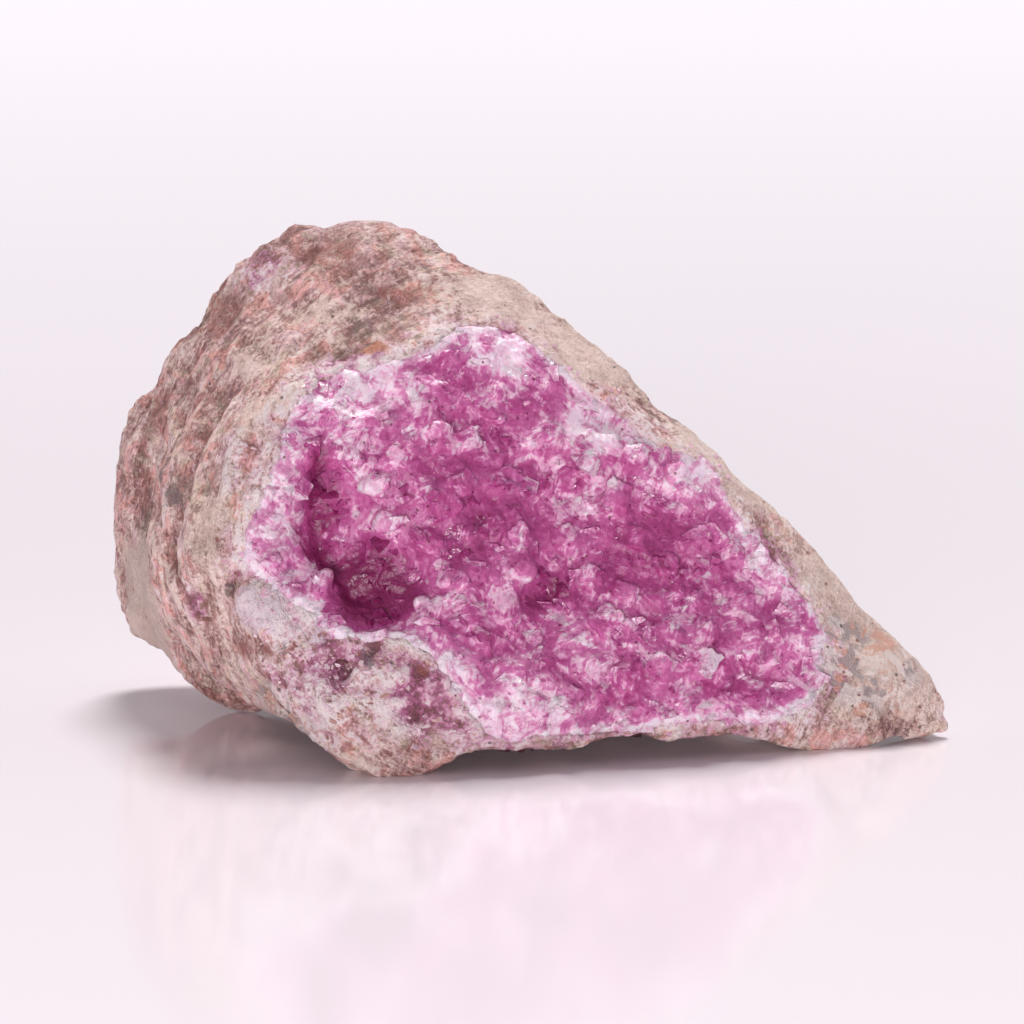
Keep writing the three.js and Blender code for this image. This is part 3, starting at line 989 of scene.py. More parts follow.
@dataclass(frozen=True)
class CalciteFinish:
    """Translucent cobaltoan calcite: magenta in the mass, white where it is frosted, and darkened towards
    crimson by painted shade in the hollow.

    The colours are as the eye reads them, red, green and blue, 0 to 255.

    Args:
        roughness: How matt its faces are.
        clearness: How much light passes straight through.
        glow: How much light spreads inside.
        glow_depth: How far it spreads, in millimetres.
        pallor: How much paler it is than the mass.
        bump: How deep its finest grain is, in millimetres.
    """

    crimson: tuple[int, int, int] = (140, 36, 94)
    magenta: tuple[int, int, int] = (186, 74, 142)
    rose: tuple[int, int, int] = (208, 110, 170)
    pink: tuple[int, int, int] = (234, 178, 208)
    white: tuple[int, int, int] = (250, 226, 240)
    speck: tuple[int, int, int] = (110, 26, 48)
    roughness: float = 0.42
    clearness: float = 0.0
    glow: float = 0.5
    glow_depth: float = 1.0
    pallor: float = 0.0
    bump: float = 0.2

    def make(self, name: str, crystals: bool) -> bpy.types.Material:
        """Makes the material.

        Args:
            name: The material's name.
            crystals: Whether it is for loose crystals, which carry a tint, or for their bed.

        Returns:
            The new material.
        """
        material = bpy.data.materials.new(name)
        material.use_nodes = True
        sheet = Sheet(material.node_tree)
        here = sheet.place()
        coarse = sheet.mottle(here, 3.2, 3.0, 0.55, 0.5)
        fine = sheet.mottle(here, 0.5, 2.0, 0.6)
        clouds = sheet.mottle(here, 2.5, 3.0, 0.62, 0.9)
        hairs = self._hairs(sheet, here, coarse)
        # Painted shade: where the hollow is marked, the calcite is darker and carries less frost
        deep = sheet.attribute(Tone.DEEP.value)
        pale = sheet.attribute(Tone.PALE.value)
        frost = (clouds + (hairs - 0.5) * 0.36 + pale * 0.07 - deep * 0.30).step(0.46, 0.63)
        bright = 0.37 + (coarse - 0.5) * 0.5 + (fine - 0.5) * 0.50 + pale * 0.24 - deep * 0.42
        bright = bright + frost * (0.36 + (hairs - 0.5) * 0.6) + self.pallor
        if crystals:
            bright = bright + (sheet.attribute("tint") - 0.5) * 0.3
        else:
            # Painted light and shade: the bed is lighter on its raised lumps and darker in the creases
            # between them
            bright = bright + sheet.attribute("relief") * 0.25
        stops = [(0.0, paint(*self.crimson)), (0.30, paint(*self.magenta)), (0.50, paint(*self.rose)),
                 (0.75, paint(*self.pink)), (1.0, paint(*self.white))]
        colour = sheet.value("ShaderNodeValToRGB", {"stops": stops}, {"Fac": bright.clamped()}, "Color")
        chosen = sheet.channel(sheet.grains(here, 1.3, "Color"), "Red")
        specks = sheet.grains(here, 1.3).step(0.15, 0.09) * chosen.step(0.72, 0.76)
        colour = sheet.mix(specks * 0.8, colour, paint(*self.speck))
        height = fine + hairs * 0.8 + sheet.grains(here, 0.8) * 0.9
        bump = sheet.value("ShaderNodeBump", None, {"Height": height, "Strength": 0.60,
                                                     "Distance": self.bump * MM}, "Normal")
        surface = sheet.node("ShaderNodeBsdfPrincipled", None, {
            "Base Color": colour, "Roughness": (self.roughness + (fine - 0.5) * 0.4).clamped(),
            "Normal": bump, "IOR": 1.6, "Transmission Weight": self.clearness,
            "Subsurface Weight": self.glow, "Subsurface Radius": (1.0, 0.5, 0.8),
            "Subsurface Scale": self.glow_depth * MM})
        sheet.node("ShaderNodeOutputMaterial", None, {"Surface": surface.outputs[0]})
        return material

    @staticmethod
    def _hairs(sheet: Sheet, here: Value, chooser: Value) -> Value:
        """Adds short parallel hairs that lie one way here and another way there.

        Args:
            sheet: The material's nodes.
            here: The place on the piece, in millimetres.
            chooser: The noise that picks between the directions.

        Returns:
            The hairs, about 0.5 on average.
        """
        thin = (2.8, 1.2, 0.5)
        rising = sheet.mottle(sheet.stretched(here, (0.0, 0.9, 0.0), thin), 1.0, 2.0, 0.6, 0.6)
        falling = sheet.mottle(sheet.stretched(here, (0.3, -1.2, 0.0), thin), 1.0, 2.0, 0.6, 0.6)
        upright = sheet.mottle(sheet.stretched(here, (0.0, -0.3, 0.0), thin), 1.0, 2.0, 0.6, 0.6)
        low, high = chooser.step(0.50, 0.42), chooser.step(0.53, 0.58)
        return rising * low + falling * high + upright * (1 - low - high)


@dataclass(frozen=True)
class SugarFinish:
    """Pale grains of calcite on the rock near the druse: white, pink and lilac, some stained brown.

    The colours are as the eye reads them, red, green and blue, 0 to 255.

    Args:
        roughness: How matt their faces are.
    """

    white: tuple[int, int, int] = (232, 208, 212)
    pink: tuple[int, int, int] = (222, 160, 192)
    lilac: tuple[int, int, int] = (218, 190, 204)
    stain: tuple[int, int, int] = (196, 152, 142)
    roughness: float = 0.36

    def make(self) -> bpy.types.Material:
        """Makes the material.

        Returns:
            The new material.
        """
        material = bpy.data.materials.new("sugar_finish")
        material.use_nodes = True
        sheet = Sheet(material.node_tree)
        here = sheet.place()
        coarse = sheet.mottle(here, 2.6, 3.0, 0.6, 0.5)
        stained = sheet.mottle(here, 4.0, 3.0, 0.65, 0.3)
        tint = sheet.attribute("tint")
        near = sheet.attribute("near")
        colour = sheet.mix((0.5 + (coarse - 0.5) * 2.6 + (tint - 0.5) * 0.6).clamped(),
                           paint(*self.white), paint(*self.lilac))
        colour = sheet.mix(((coarse - 0.5) * 2.0 + near * 0.9 + tint * 0.5 - 0.35).clamped(), colour,
                           paint(*self.pink))
        stains = (stained + tint * 0.2).step(0.62, 0.78) * (1 - near * 0.8)
        colour = sheet.mix(stains, colour, paint(*self.stain))
        surface = sheet.node("ShaderNodeBsdfPrincipled", None, {
            "Base Color": colour, "Roughness": self.roughness, "IOR": 1.6})
        sheet.node("ShaderNodeOutputMaterial", None, {"Surface": surface.outputs[0]})
        return material


@dataclass
class HostRock:
    """The broken wedge of host rock.

    Args:
        voxel: The size of its net of faces, in millimetres.
        softening: How many times the plain solid's edges are softened.
        grain_height: The height of its grains, in millimetres.
        grain_size: The size of the largest grains, in millimetres.
        rib_height: The height of the layers' worn edges, in millimetres.
        rib_pitch: The thickness of those layers, in millimetres.
        swell_height: The height of its broad swells, in millimetres.
        swell_size: Their size, in millimetres.
        chip_slope: How steep the small broken faces are.
        chip_size: The distance between them, in millimetres.
        sugar_slope: How steep the grown-together grains of calcite near the druse are.
        sugar_size: The distance between them, in millimetres.
        highest_bump: How far the relief may rise above the plain solid, in millimetres.
        seam_rise: How far the rock swells to meet the druse, in millimetres.
        bed_sink: How far the rock sinks where the druse covers it, in millimetres.
        cover_reach: The largest distance at which the druse covers it, in millimetres.
        rim_start: How near a place is to count as beside the druse, in millimetres.
        rim_reach: How far pale grains stray from there, in millimetres.
        border_strength: How strong the pale border beside the druse is.
        foot_height: How high above the table the relief is in full, in millimetres.
    """

    voxel: float = 0.40
    softening: int = 8
    grain_height: float = 0.26
    grain_size: float = 1.4
    rib_height: float = 0.50
    rib_pitch: float = 1.7
    swell_height: float = 0.65
    swell_size: float = 7.0
    chip_slope: float = 0.18
    chip_size: float = 4.5
    sugar_slope: float = 0.65
    sugar_size: float = 1.5
    highest_bump: float = 0.20
    seam_rise: float = 0.35
    bed_sink: float = 2.2
    cover_reach: float = 6.0
    rim_start: float = 0.4
    rim_reach: float = 3.6
    border_strength: float = 0.75
    foot_height: float = 1.2
    finish: RockFinish = RockFinish()

    TONES = (Tone.BROWN, Tone.TAN, Tone.CREAM, Tone.FACET, Tone.BLUSH, Tone.MAGENTA, Tone.CHALK,
             Tone.LILAC, Tone.SOOT, Tone.RUST, Tone.OCHRE, Tone.SPECK)

    PATCHES = (
        Patch(Tone.BROWN, (-21, 3, 48.5), (11, 10, 5), 0.9),
        Patch(Tone.BROWN, (-35, 13, 38), (7, 10, 9), 0.8),
        Patch(Tone.BROWN, (-41, 8, 27), (6, 12, 10), 0.8),
        Patch(Tone.BROWN, (-12, -3, 43.5), (5, 5, 3), 1.2),
        Patch(Tone.TAN, (-3, 2, 45), (9, 8, 5), 1.2),
        Patch(Tone.TAN, (8, 0, 39), (12, 8, 7), 1.3),
        Patch(Tone.TAN, (22, -2, 28), (13, 8, 9), 1.3),
        Patch(Tone.TAN, (33, -3, 15), (11, 8, 9), 1.2),
        Patch(Tone.TAN, (38, -4, 8), (9, 7, 7), 1.1),
        Patch(Tone.CREAM, (-31, -13, 23), (3.5, 5, 8), 1.0),
        Patch(Tone.CREAM, (-27, -9, 34.5), (5, 4, 4), 0.7),
        Patch(Tone.CREAM, (-20, -7, 39), (7, 4, 2.5), 0.6),
        Patch(Tone.FACET, (-40.5, 8, 11.0), (5.5, 11, 9.5), 1.5),
        Patch(Tone.BLUSH, (-29, -12, 29), (3, 3, 5), 0.8),
        Patch(Tone.BLUSH, (-23, -12, 34.5), (4, 3, 3), 0.8),
        Patch(Tone.BLUSH, (-18, -20, 8), (14, 6, 8), 0.8),
        Patch(Tone.BLUSH, (-6, -20, 6), (10, 5, 5), 0.9),
        Patch(Tone.BLUSH, (-33, -9, 14), (2, 3, 5), 0.8),
        Patch(Tone.BLUSH, (-27, 5, 47), (5, 8, 4), 0.7),
        Patch(Tone.BLUSH, (-16, -8, 38), (9, 4, 2.5), 1.2),
        Patch(Tone.CHALK, (-16, -8, 37.5), (9, 5, 4), 0.8),
        Patch(Tone.BLUSH, (-25.5, -15, 22), (3, 3, 9), 1.0),
        Patch(Tone.BLUSH, (-19, -19.5, 11), (9, 5, 7), 0.8),
        Patch(Tone.BLUSH, (-11, -21, 8), (9, 5, 6), 1.2),
        Patch(Tone.MAGENTA, (-9, -20.5, 8), (4, 4, 4), 0.7),
        Patch(Tone.MAGENTA, (-14.5, -20.5, 11.5), (2.5, 3, 1.8), 0.7),
        Patch(Tone.MAGENTA, (-19, -19.5, 13.5), (3, 3, 1.3), 0.6),
        Patch(Tone.MAGENTA, (2, -18.5, 4.5), (6, 4, 3), 0.9),
        Patch(Tone.CHALK, (-22, -19, 13), (4, 4, 2.5), 0.8),
        Patch(Tone.CHALK, (-13.5, -21, 6.5), (4, 4, 3), 0.7),
        Patch(Tone.CHALK, (-17.5, -21, 7.2), (4, 3, 2.6), 1.0),
        Patch(Tone.CHALK, (-30.3, 6.9, 43.8), (1.2, 2.5, 2.6), 1.0),
        Patch(Tone.BLUSH, (-22.5, -18, 15.3), (5.0, 4, 3.6), 1.5),
        Patch(Tone.CHALK, (-22.5, -18, 15.3), (5.0, 4, 3.6), 1.0),
        Patch(Tone.LILAC, (-20.0, -19.3, 13.6), (3.4, 3, 1.8), 0.7),
        Patch(Tone.LILAC, (-26, -17.6, 16), (4.5, 4, 3.0), 1.3),
        Patch(Tone.LILAC, (-8, -19.5, 11.5), (3, 3, 2), 0.7),
        Patch(Tone.OCHRE, (-15.3, -6.7, 40.0), (2.2, 1.6, 0.9), 1.2),
        Patch(Tone.RUST, (-13.1, -5.7, 41.8), (2.0, 1.6, 1.5), 0.7),
        Patch(Tone.RUST, (-20, 3, 49.5), (6, 6, 2.5), 0.55),
        Patch(Tone.RUST, (-31, 8, 43), (3.5, 6, 4.5), 0.5),
        Patch(Tone.RUST, (-39, 8, 31), (2.5, 6, 4), 0.5),
        Patch(Tone.RUST, (-12, -2, 46), (4, 4, 1.8), 0.55),
        Patch(Tone.SOOT, (-9.5, -4.5, 40.1), (2.4, 2.0, 1.6), 0.6),
        Patch(Tone.RUST, (-22.0, -11.0, 33.9), (1.9, 1.6, 1.1), 0.8),
        Patch(Tone.RUST, (-18.4, -7.9, 37.6), (0.9, 0.9, 0.8), 1.0),
        Patch(Tone.SOOT, (-14.6, -7.9, 36.9), (0.5, 0.6, 0.6), 1.0),
        Patch(Tone.CREAM, (-20, -1.5, 43.8), (9, 4, 2.0), 0.8),
        Patch(Tone.CREAM, (-27, -2.0, 39.5), (4, 4, 4.0), 0.7),
        Patch(Tone.SOOT, (-37.1, -0.4, 27.1), (1.7, 2.4, 1.6), 1.0),
        Patch(Tone.SOOT, (-36.0, -4.9, 24.8), (1.7, 2.4, 1.9), 1.0),
        Patch(Tone.BROWN, (13.2, -1.2, 33.4), (5.0, 4.0, 3.5), 1.0),
        # Painted shade in the gaps of the granular crust below the lilac knob
        Patch(Tone.SOOT, (-23.1, -19.7, 12.4), (1.0, 1.0, 0.9), 0.8),
        Patch(Tone.SOOT, (-15.6, -20.4, 11.6), (1.1, 1.2, 1.6), 0.8),
        Patch(Tone.SOOT, (-17.6, -19.9, 10.4), (1.3, 1.2, 1.6), 0.5),
        Patch(Tone.RUST, (-25.0, -18.8, 11.6), (1.6, 1.2, 0.9), 1.0),
        Patch(Tone.RUST, (-28.3, -13.7, 10.9), (2.4, 2.4, 1.6), 0.7),
        Patch(Tone.RUST, (-20.5, -21.2, 5.8), (0.8, 0.8, 0.8), 1.0),
        Patch(Tone.OCHRE, (-27.1, -16.6, 9.3), (0.9, 1.0, 0.8), 1.0),
        Patch(Tone.RUST, (-10.0, -20.8, 10.5), (1.0, 1.0, 1.2), 0.8),
        Patch(Tone.OCHRE, (-14.5, -21.6, 4.4), (0.9, 0.9, 1.2), 1.0),
        Patch(Tone.RUST, (8.0, -17, 2.9), (1.5, 2, 1.2), 0.8),
        Patch(Tone.OCHRE, (36.6, -7.6, 7.5), (0.9, 0.9, 0.9), 1.0),
        Patch(Tone.OCHRE, (31.8, -6.1, 12.9), (0.8, 0.8, 0.8), 1.0),
        Patch(Tone.SOOT, (33.4, -8.0, 8.2), (1.0, 1.0, 1.0), 0.7),
        Patch(Tone.BLUSH, (31.5, -8.5, 8), (2.5, 2.5, 5), 0.8),
        Patch(Tone.CREAM, (36, -5, 6), (10, 7, 9), 1.4),
        Patch(Tone.CREAM, (29, -4, 18), (8, 6, 7), 0.6),
        Patch(Tone.SPECK, (34, -7, 7), (9, 5, 8), 1.0),
        Patch(Tone.BROWN, (-20, 20, 22), (14, 8, 9), 1.0),
        Patch(Tone.BROWN, (4, 15, 8), (9, 7, 6), 0.9),
        Patch(Tone.TAN, (11, 12, 20), (11, 8, 8), 1.1),
        Patch(Tone.TAN, (-33, 20, 10), (10, 7, 7), 0.9),
        Patch(Tone.FACET, (20, 8, 7), (8, 6, 5), 1.2),
        Patch(Tone.BLUSH, (-12, 18, 36), (8, 7, 6), 0.8),
        Patch(Tone.CHALK, (-14, 18, 35), (4, 6, 3), 0.8),
        Patch(Tone.OCHRE, (13, 12, 15), (2.4, 4.0, 1.6), 0.9),
        Patch(Tone.RUST, (-6, 19, 27), (3.6, 4.0, 2.0), 0.8),
        Patch(Tone.RUST, (-29, 20, 31), (2.2, 4.0, 1.6), 0.7),
        Patch(Tone.SOOT, (-24, 20, 14), (2.0, 4.0, 1.5), 0.9),
        Patch(Tone.SOOT, (3, 16, 20), (1.5, 4.0, 1.2), 0.9),
        Patch(Tone.SPECK, (-24, -15, 5), (9, 8, 4), 0.7),
    )

    SUGAR = (
        Patch(Tone.SUGAR, (-20, -20, 9), (13, 6, 9)),
        Patch(Tone.SUGAR, (-26, -17, 15), (6, 5, 5), 1.3),
        Patch(Tone.SUGAR, (-19, -9, 37), (10, 4, 4), 0.8),
        Patch(Tone.SUGAR, (-27, -12, 27), (4, 5, 9), 0.8),
        Patch(Tone.SUGAR, (-8, -20, 5), (10, 5, 5)),
    )

    STREAKS = (
        Streak(((-21, -9.5, 37.4), (-25, -10.5, 35.2), (-28.2, -10.8, 31.5), (-30.3, -13, 26),
                (-31, -14.5, 21.5), (-30.7, -14.4, 18.2)), 1.7, Tone.CREAM, -0.35),
        Streak(((-30.4, -10.5, 13.5), (-30.2, -8.8, 10.4), (-26.5, -12.5, 5.9), (-22.1, -17.9, 4.0),
                (-17.5, -21.9, 2.3), (-14.8, -22.4, 0.8)), 1.0, Tone.CREAM, -0.45),
        Streak(((-39, -1, 22), (-37.2, -4.6, 18.5), (-35.2, -7.0, 15.5), (-33.2, -7.6, 12.0),
                (-31.4, -6.5, 8.2)), 0.8, Tone.CREAM, -0.3),
        Streak(((-37.5, -4, 22.5), (-35.6, -7.2, 18.2), (-33.8, -8.4, 15.2), (-32.0, -8.8, 11.8)), 0.9,
               Tone.BROWN, 0.35),
        Streak(((-30.5, -3.5, 37), (-32.4, -4.5, 32), (-34.2, -6.0, 26), (-35.5, -6, 19)), 3.0, None, 1.3),
        Streak(((-27.2, -16.8, 17.0), (-24.6, -18.2, 15.0)), 2.4, Tone.LILAC, -1.0),
        # Painted shade: this brown line and the next darken grooves round the lilac knob
        Streak(((-29.2, -15.6, 15.6), (-28.6, -16.6, 13.4), (-26.4, -18.0, 12.4)), 0.9, Tone.BROWN, 0.6),
        Streak(((-17.9, -19.9, 10.8), (-17.3, -19.9, 10.0)), 1.1, Tone.BROWN, 0.8),
        Streak(((-14.9, -19.8, 13.2), (-14.3, -19.8, 12.8)), 1.1, Tone.MAGENTA, 0.7),
        Streak(((-10.3, -20.8, 10.8), (-9.7, -20.8, 10.2)), 1.1, Tone.MAGENTA, 0.8),
        Streak(((3.9, -3.0, 38.7), (10.0, -3.4, 33.8), (16.5, -3.0, 30.5), (20.8, -4.5, 26.5),
                (24.9, -5.2, 21.7), (28.0, -6.3, 17.2)), 0.8, Tone.BROWN, 0.3),
        # Painted shade: this brown line and the soot spot in it darken the crevice beside the lilac knob
        Streak(((-28.4, -15.4, 19.0), (-29.4, -15.2, 17.2), (-28.8, -15.8, 14.6)), 0.9, Tone.BROWN, 0.9),
        Streak(((-29.3, -15.2, 17.6), (-29.5, -15.0, 16.6)), 0.7, Tone.SOOT, 0.4),
        Streak(((-39, 18.5, 27), (-30, 20.4, 26), (-22, 19.4, 23.5), (-12, 20.2, 21.5), (-4, 19.2, 17.5),
                (5, 15.8, 12.5), (14, 11.9, 9)), 1.4, Tone.CREAM, -0.3),
        Streak(((-28, 22.4, 12), (-18, 22.5, 9.5), (-8, 21.0, 6.5), (2, 18.5, 4)), 0.9, Tone.CREAM, -0.2),
        Streak(((-34, 17.8, 36), (-24, 19.2, 33), (-12, 19.6, 31.5), (-3, 17.2, 29.5)), 1.2,
               Tone.BROWN, 0.6),
    )

    def build(self) -> bpy.types.Object:
        """Builds the dressed rock.

        Returns:
            The finished piece.
        """
        skin = Skin("host_rock", self.voxel)
        skin.smooth(self.softening)
        tones = weigh_tones(skin.points, self.TONES, self.PATCHES, self.STREAKS, stray=1.6, lump=6.0,
                            shifts=(0.0, 31.0, 67.0))
        near, covered = self._sweeten(skin, tones)
        self._roughen(skin, tones, near, covered)
        for tone, values in tones.items():
            skin.carry(tone.value, values)
        piece = skin.finished("rock", self.finish.make())
        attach(piece, "root")
        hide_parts("host_rock")
        report(piece)
        return piece

    def _sweeten(self, skin: Skin, tones: dict[Tone, np.ndarray]) -> tuple[np.ndarray, np.ndarray]:
        """Pales the rock near the druse and marks where grains of calcite grow on it.

        Args:
            skin: The rock's surface.
            tones: What each point is made of. The pale border is added to it.

        Returns:
            How near each point is to the druse, 1 beside it and 0 out of its reach, and whether it is
            covered.
        """
        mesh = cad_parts["calcite_crust"].data
        corners = [vertex.co / MM for vertex in mesh.vertices]
        druse = bvhtree.BVHTree.FromPolygons(corners, [tuple(face.vertices) for face in mesh.polygons])
        points = skin.points
        gap = np.array([druse.find_nearest(point)[3] for point in points])
        near = np.clip(1 - (gap - self.rim_start) / self.rim_reach, 0, 1)
        above = np.array([druse.ray_cast(Vector(point), FACE_OUT, self.cover_reach)[0] is not None
                          for point in points])
        outward = skin.normals() @ np.array(FACE_OUT)
        covered = above & (outward > 0)
        border = self.border_strength * near * (1 - 0.6 * np.clip(tones[Tone.TAN], 0, 1))
        tones[Tone.BLUSH] = np.maximum(tones[Tone.BLUSH], border)
        drift = fractal(points, size=2.2, octaves=3, shift=19.0)
        patches = np.zeros(len(points))
        for patch in self.SUGAR:
            patches = np.maximum(patches, patch.weight(points))
        base = np.maximum(0.6 * near, patches)
        growth = ramp(base + 0.7 * drift, 0.45, 0.75) * ramp(base, 0.0, 0.2)
        skin.carry("near", near)
        skin.carry("growth", growth * ramp(outward, 0.05, 0.25) * ~covered)
        return near, covered

    def _roughen(self, skin: Skin, tones: dict[Tone, np.ndarray], near: np.ndarray,
                 covered: np.ndarray) -> None:
        """Gives the surface its grains, worn layers, chips and grooves.

        Args:
            skin: The rock's surface.
            tones: What each point is made of, because the tan ground is smoother.
            near: How near each point is to the druse.
            covered: Whether the druse covers each point.
        """
        # The rock swells to meet the druse only in the nearest third of its pale border
        seam = 3 * near - 2
        points = skin.points
        normals = skin.normals()
        smooth = np.maximum(0.6 * tones[Tone.TAN], 0.9 * tones[Tone.FACET])
        calm = 1 - np.clip(smooth, 0, 0.9)
        grains = self.grain_height * fractal(points, self.grain_size, 3)
        ribs = self.rib_height * (0.3 - np.abs(fractal(layered(points, self.rib_pitch), 1.0, 2, 11.0)))
        ribs *= np.clip(0.6 + 1.6 * fractal(points, 9.0, 2, 53.0), 0.15, 1.2)
        swells = self.swell_height * (fractal(points, self.swell_size, 2, 23.0) - 0.15)
        chips = faceted(points, self.chip_size, self.chip_slope, SEED)
        sugary = np.clip(np.maximum(tones[Tone.BLUSH], tones[Tone.LILAC]), 0, 1)
        sugar = faceted(points, self.sugar_size, self.sugar_slope, SEED + 2)
        height = calm * (grains + ribs + chips + swells)
        height = np.minimum(height, self.highest_bump) * (1 - 0.6 * sugary) + sugary * sugar
        for streak in self.STREAKS:
            height -= streak.depth * streak.weight(points)
        height += self.seam_rise * np.clip(seam, 0, 1)
        height[covered] = -self.bed_sink
        # The relief is carried for the colours too, which paint shade where it sinks and light where it
        # rises
        skin.carry("relief", np.clip(height, -1, 1))
        grounded = ramp(points[:, 2], 0.0, self.foot_height)
        points += normals * (height * grounded)[:, None]
        points[:, 2] = np.maximum(points[:, 2], 0)


@dataclass
class DruseBed:
    """The crust that the small crystals grow from.

    Args:
        voxel: The size of its net of faces, in millimetres.
        softening: How many times it is softened.
        levelling: How many times the plain solid's blocks are levelled.
        level_share: How much of them goes.
        swelling: How far it swells to meet the rock, in millimetres.
        lump_height: The height of its lumps, in millimetres.
        lump_size: Their size, in millimetres.
        swell_height: The height of its broad swells, in millimetres.
        swell_size: Their size, in millimetres.
        face_size: The size of the crystal faces that show in it, in millimetres.
        face_slope: How steep they are.
        crumb_size: The size of the smaller faces between them, in millimetres.
        crumb_slope: How steep those are.
        wear: How many times the creases between them are softened.
        border_pallor: How pale its border is.
        clearance: How far above the table it ends, in millimetres.
    """

    voxel: float = 0.27
    softening: int = 10
    levelling: int = 45
    level_share: float = 0.93
    swelling: float = 0.50
    lump_height: float = 0.14
    lump_size: float = 1.0
    swell_height: float = 0.35
    swell_size: float = 5.0
    face_size: float = 2.4
    face_slope: float = 0.30
    crumb_size: float = 1.2
    crumb_slope: float = 0.26
    wear: int = 2
    border_pallor: float = 1.1
    clearance: float = 0.2
    finish: CalciteFinish = CalciteFinish()

    TONES = (Tone.DEEP, Tone.PALE)

    # The hollow shade patches paint shade into the druse's hollow; the pale patches are frosted calcite
    PATCHES = (
        Patch(Tone.DEEP, (-20, -11, 26), (3, 5, 5), 0.7),
        Patch(Tone.DEEP, (-15.5, -14, 17), (6, 7, 5), 1.3),
        Patch(Tone.DEEP, (2.8, -11.4, 16), (4, 5, 2.5), 0.8),
        Patch(Tone.DEEP, (-6, -12, 24), (9, 6, 8), 0.4),
        Patch(Tone.DEEP, (12, -9, 20), (10, 6, 8), 0.3),
        Patch(Tone.PALE, (-1.7, -3.8, 40.5), (7, 6, 5), 1.1),
        Patch(Tone.PALE, (8, -5, 33), (8, 5, 4.5), 1.1),
        Patch(Tone.PALE, (19, -4.5, 27), (8, 5, 4.5), 1.2),
        Patch(Tone.PALE, (26, -6.5, 18.5), (6, 5, 6), 1.1),
        Patch(Tone.PALE, (-17, -9, 36.5), (9, 6, 4.5), 1.0),
        Patch(Tone.PALE, (-24.5, -14, 25), (4, 6, 10), 0.9),
        Patch(Tone.PALE, (-8, -12.5, 25), (4, 4, 5), 0.5),
        Patch(Tone.PALE, (-12, -20, 10), (10, 6, 6), 0.9),
        Patch(Tone.PALE, (-2, -19, 6), (9, 6, 4), 0.8),
        Patch(Tone.PALE, (3.3, -12.5, 14.1), (2.2, 2.0, 1.3), 0.7),
    )

    # The first and last lines are grooves, carved and painted with shade; the middle one is the raised pale
    # lip
    STREAKS = (
        Streak(((-19.8, -13.4, 31.5), (-20.9, -11.9, 26.5), (-20.4, -12.6, 21.0), (-17.2, -14.8, 16.8)),
               1.9, Tone.DEEP, 1.0),
        Streak(((-22.3, -14.0, 31), (-23.4, -13.2, 26), (-23.0, -14.2, 20)), 1.5, Tone.PALE, -0.4),
        Streak(((1.6, -11.4, 15.9), (3.8, -11.4, 15.7)), 1.2, Tone.DEEP, 1.2),
    )

    def build(self) -> bpy.types.Object:
        """Builds the dressed bed.

        Returns:
            The finished piece.
        """
        skin = Skin("calcite_crust", self.voxel)
        skin.smooth(self.softening)
        out = np.array(FACE_OUT)
        outside = ramp(skin.normals() @ out, -0.15, 0.20)
        inner = ramp(skin.averaged(outside, self.levelling), 0.70, 0.95)
        heights = skin.points @ out
        level = skin.averaged(heights, self.levelling)
        skin.points += (self.level_share * inner * (level - heights))[:, None] * out
        outwards = inner[:, None] * out + (1 - inner[:, None]) * skin.normals()
        outwards /= np.linalg.norm(outwards, axis=1, keepdims=True)
        lumps = self.lump_height * fractal(skin.points, self.lump_size, 3, 5.0)
        lumps += self.swell_height * fractal(skin.points, self.swell_size, 2, 47.0)
        faces = faceted(skin.points, self.face_size, self.face_slope, SEED + 1)
        faces += faceted(skin.points, self.crumb_size, self.crumb_slope, SEED + 5)
        lumps += skin.averaged(faces, self.wear)
        tones = weigh_tones(skin.points, self.TONES, self.PATCHES, self.STREAKS, stray=1.5, lump=5.0,
                            shifts=(3.0, 37.0, 71.0))
        border = self.border_pallor * (1 - inner) * outside
        tones[Tone.PALE] = np.maximum(tones[Tone.PALE], border)
        carved = sum(streak.depth * streak.weight(skin.points) for streak in self.STREAKS)
        skin.points += outwards * (self.swelling + lumps * outside)[:, None] - carved[:, None] * out
        # Carried for the colour, which paints light on the raised lumps and shade in the creases
        skin.carry("relief", np.clip(lumps * outside, -1, 1))
        skin.points[:, 2] = np.maximum(skin.points[:, 2], self.clearance)
        for tone, values in tones.items():
            skin.carry(tone.value, values)
        skin.carry("growth", outside)
        piece = skin.finished("druse_bed", self.finish.make("druse_bed_finish", False))
        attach(piece, "root")
        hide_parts("calcite_crust")
        report(piece)
        return piece


class Habit(Enum):
    """The forms that the small crystals take."""

    RHOMB = "rhomb"
    FLAKE = "flake"


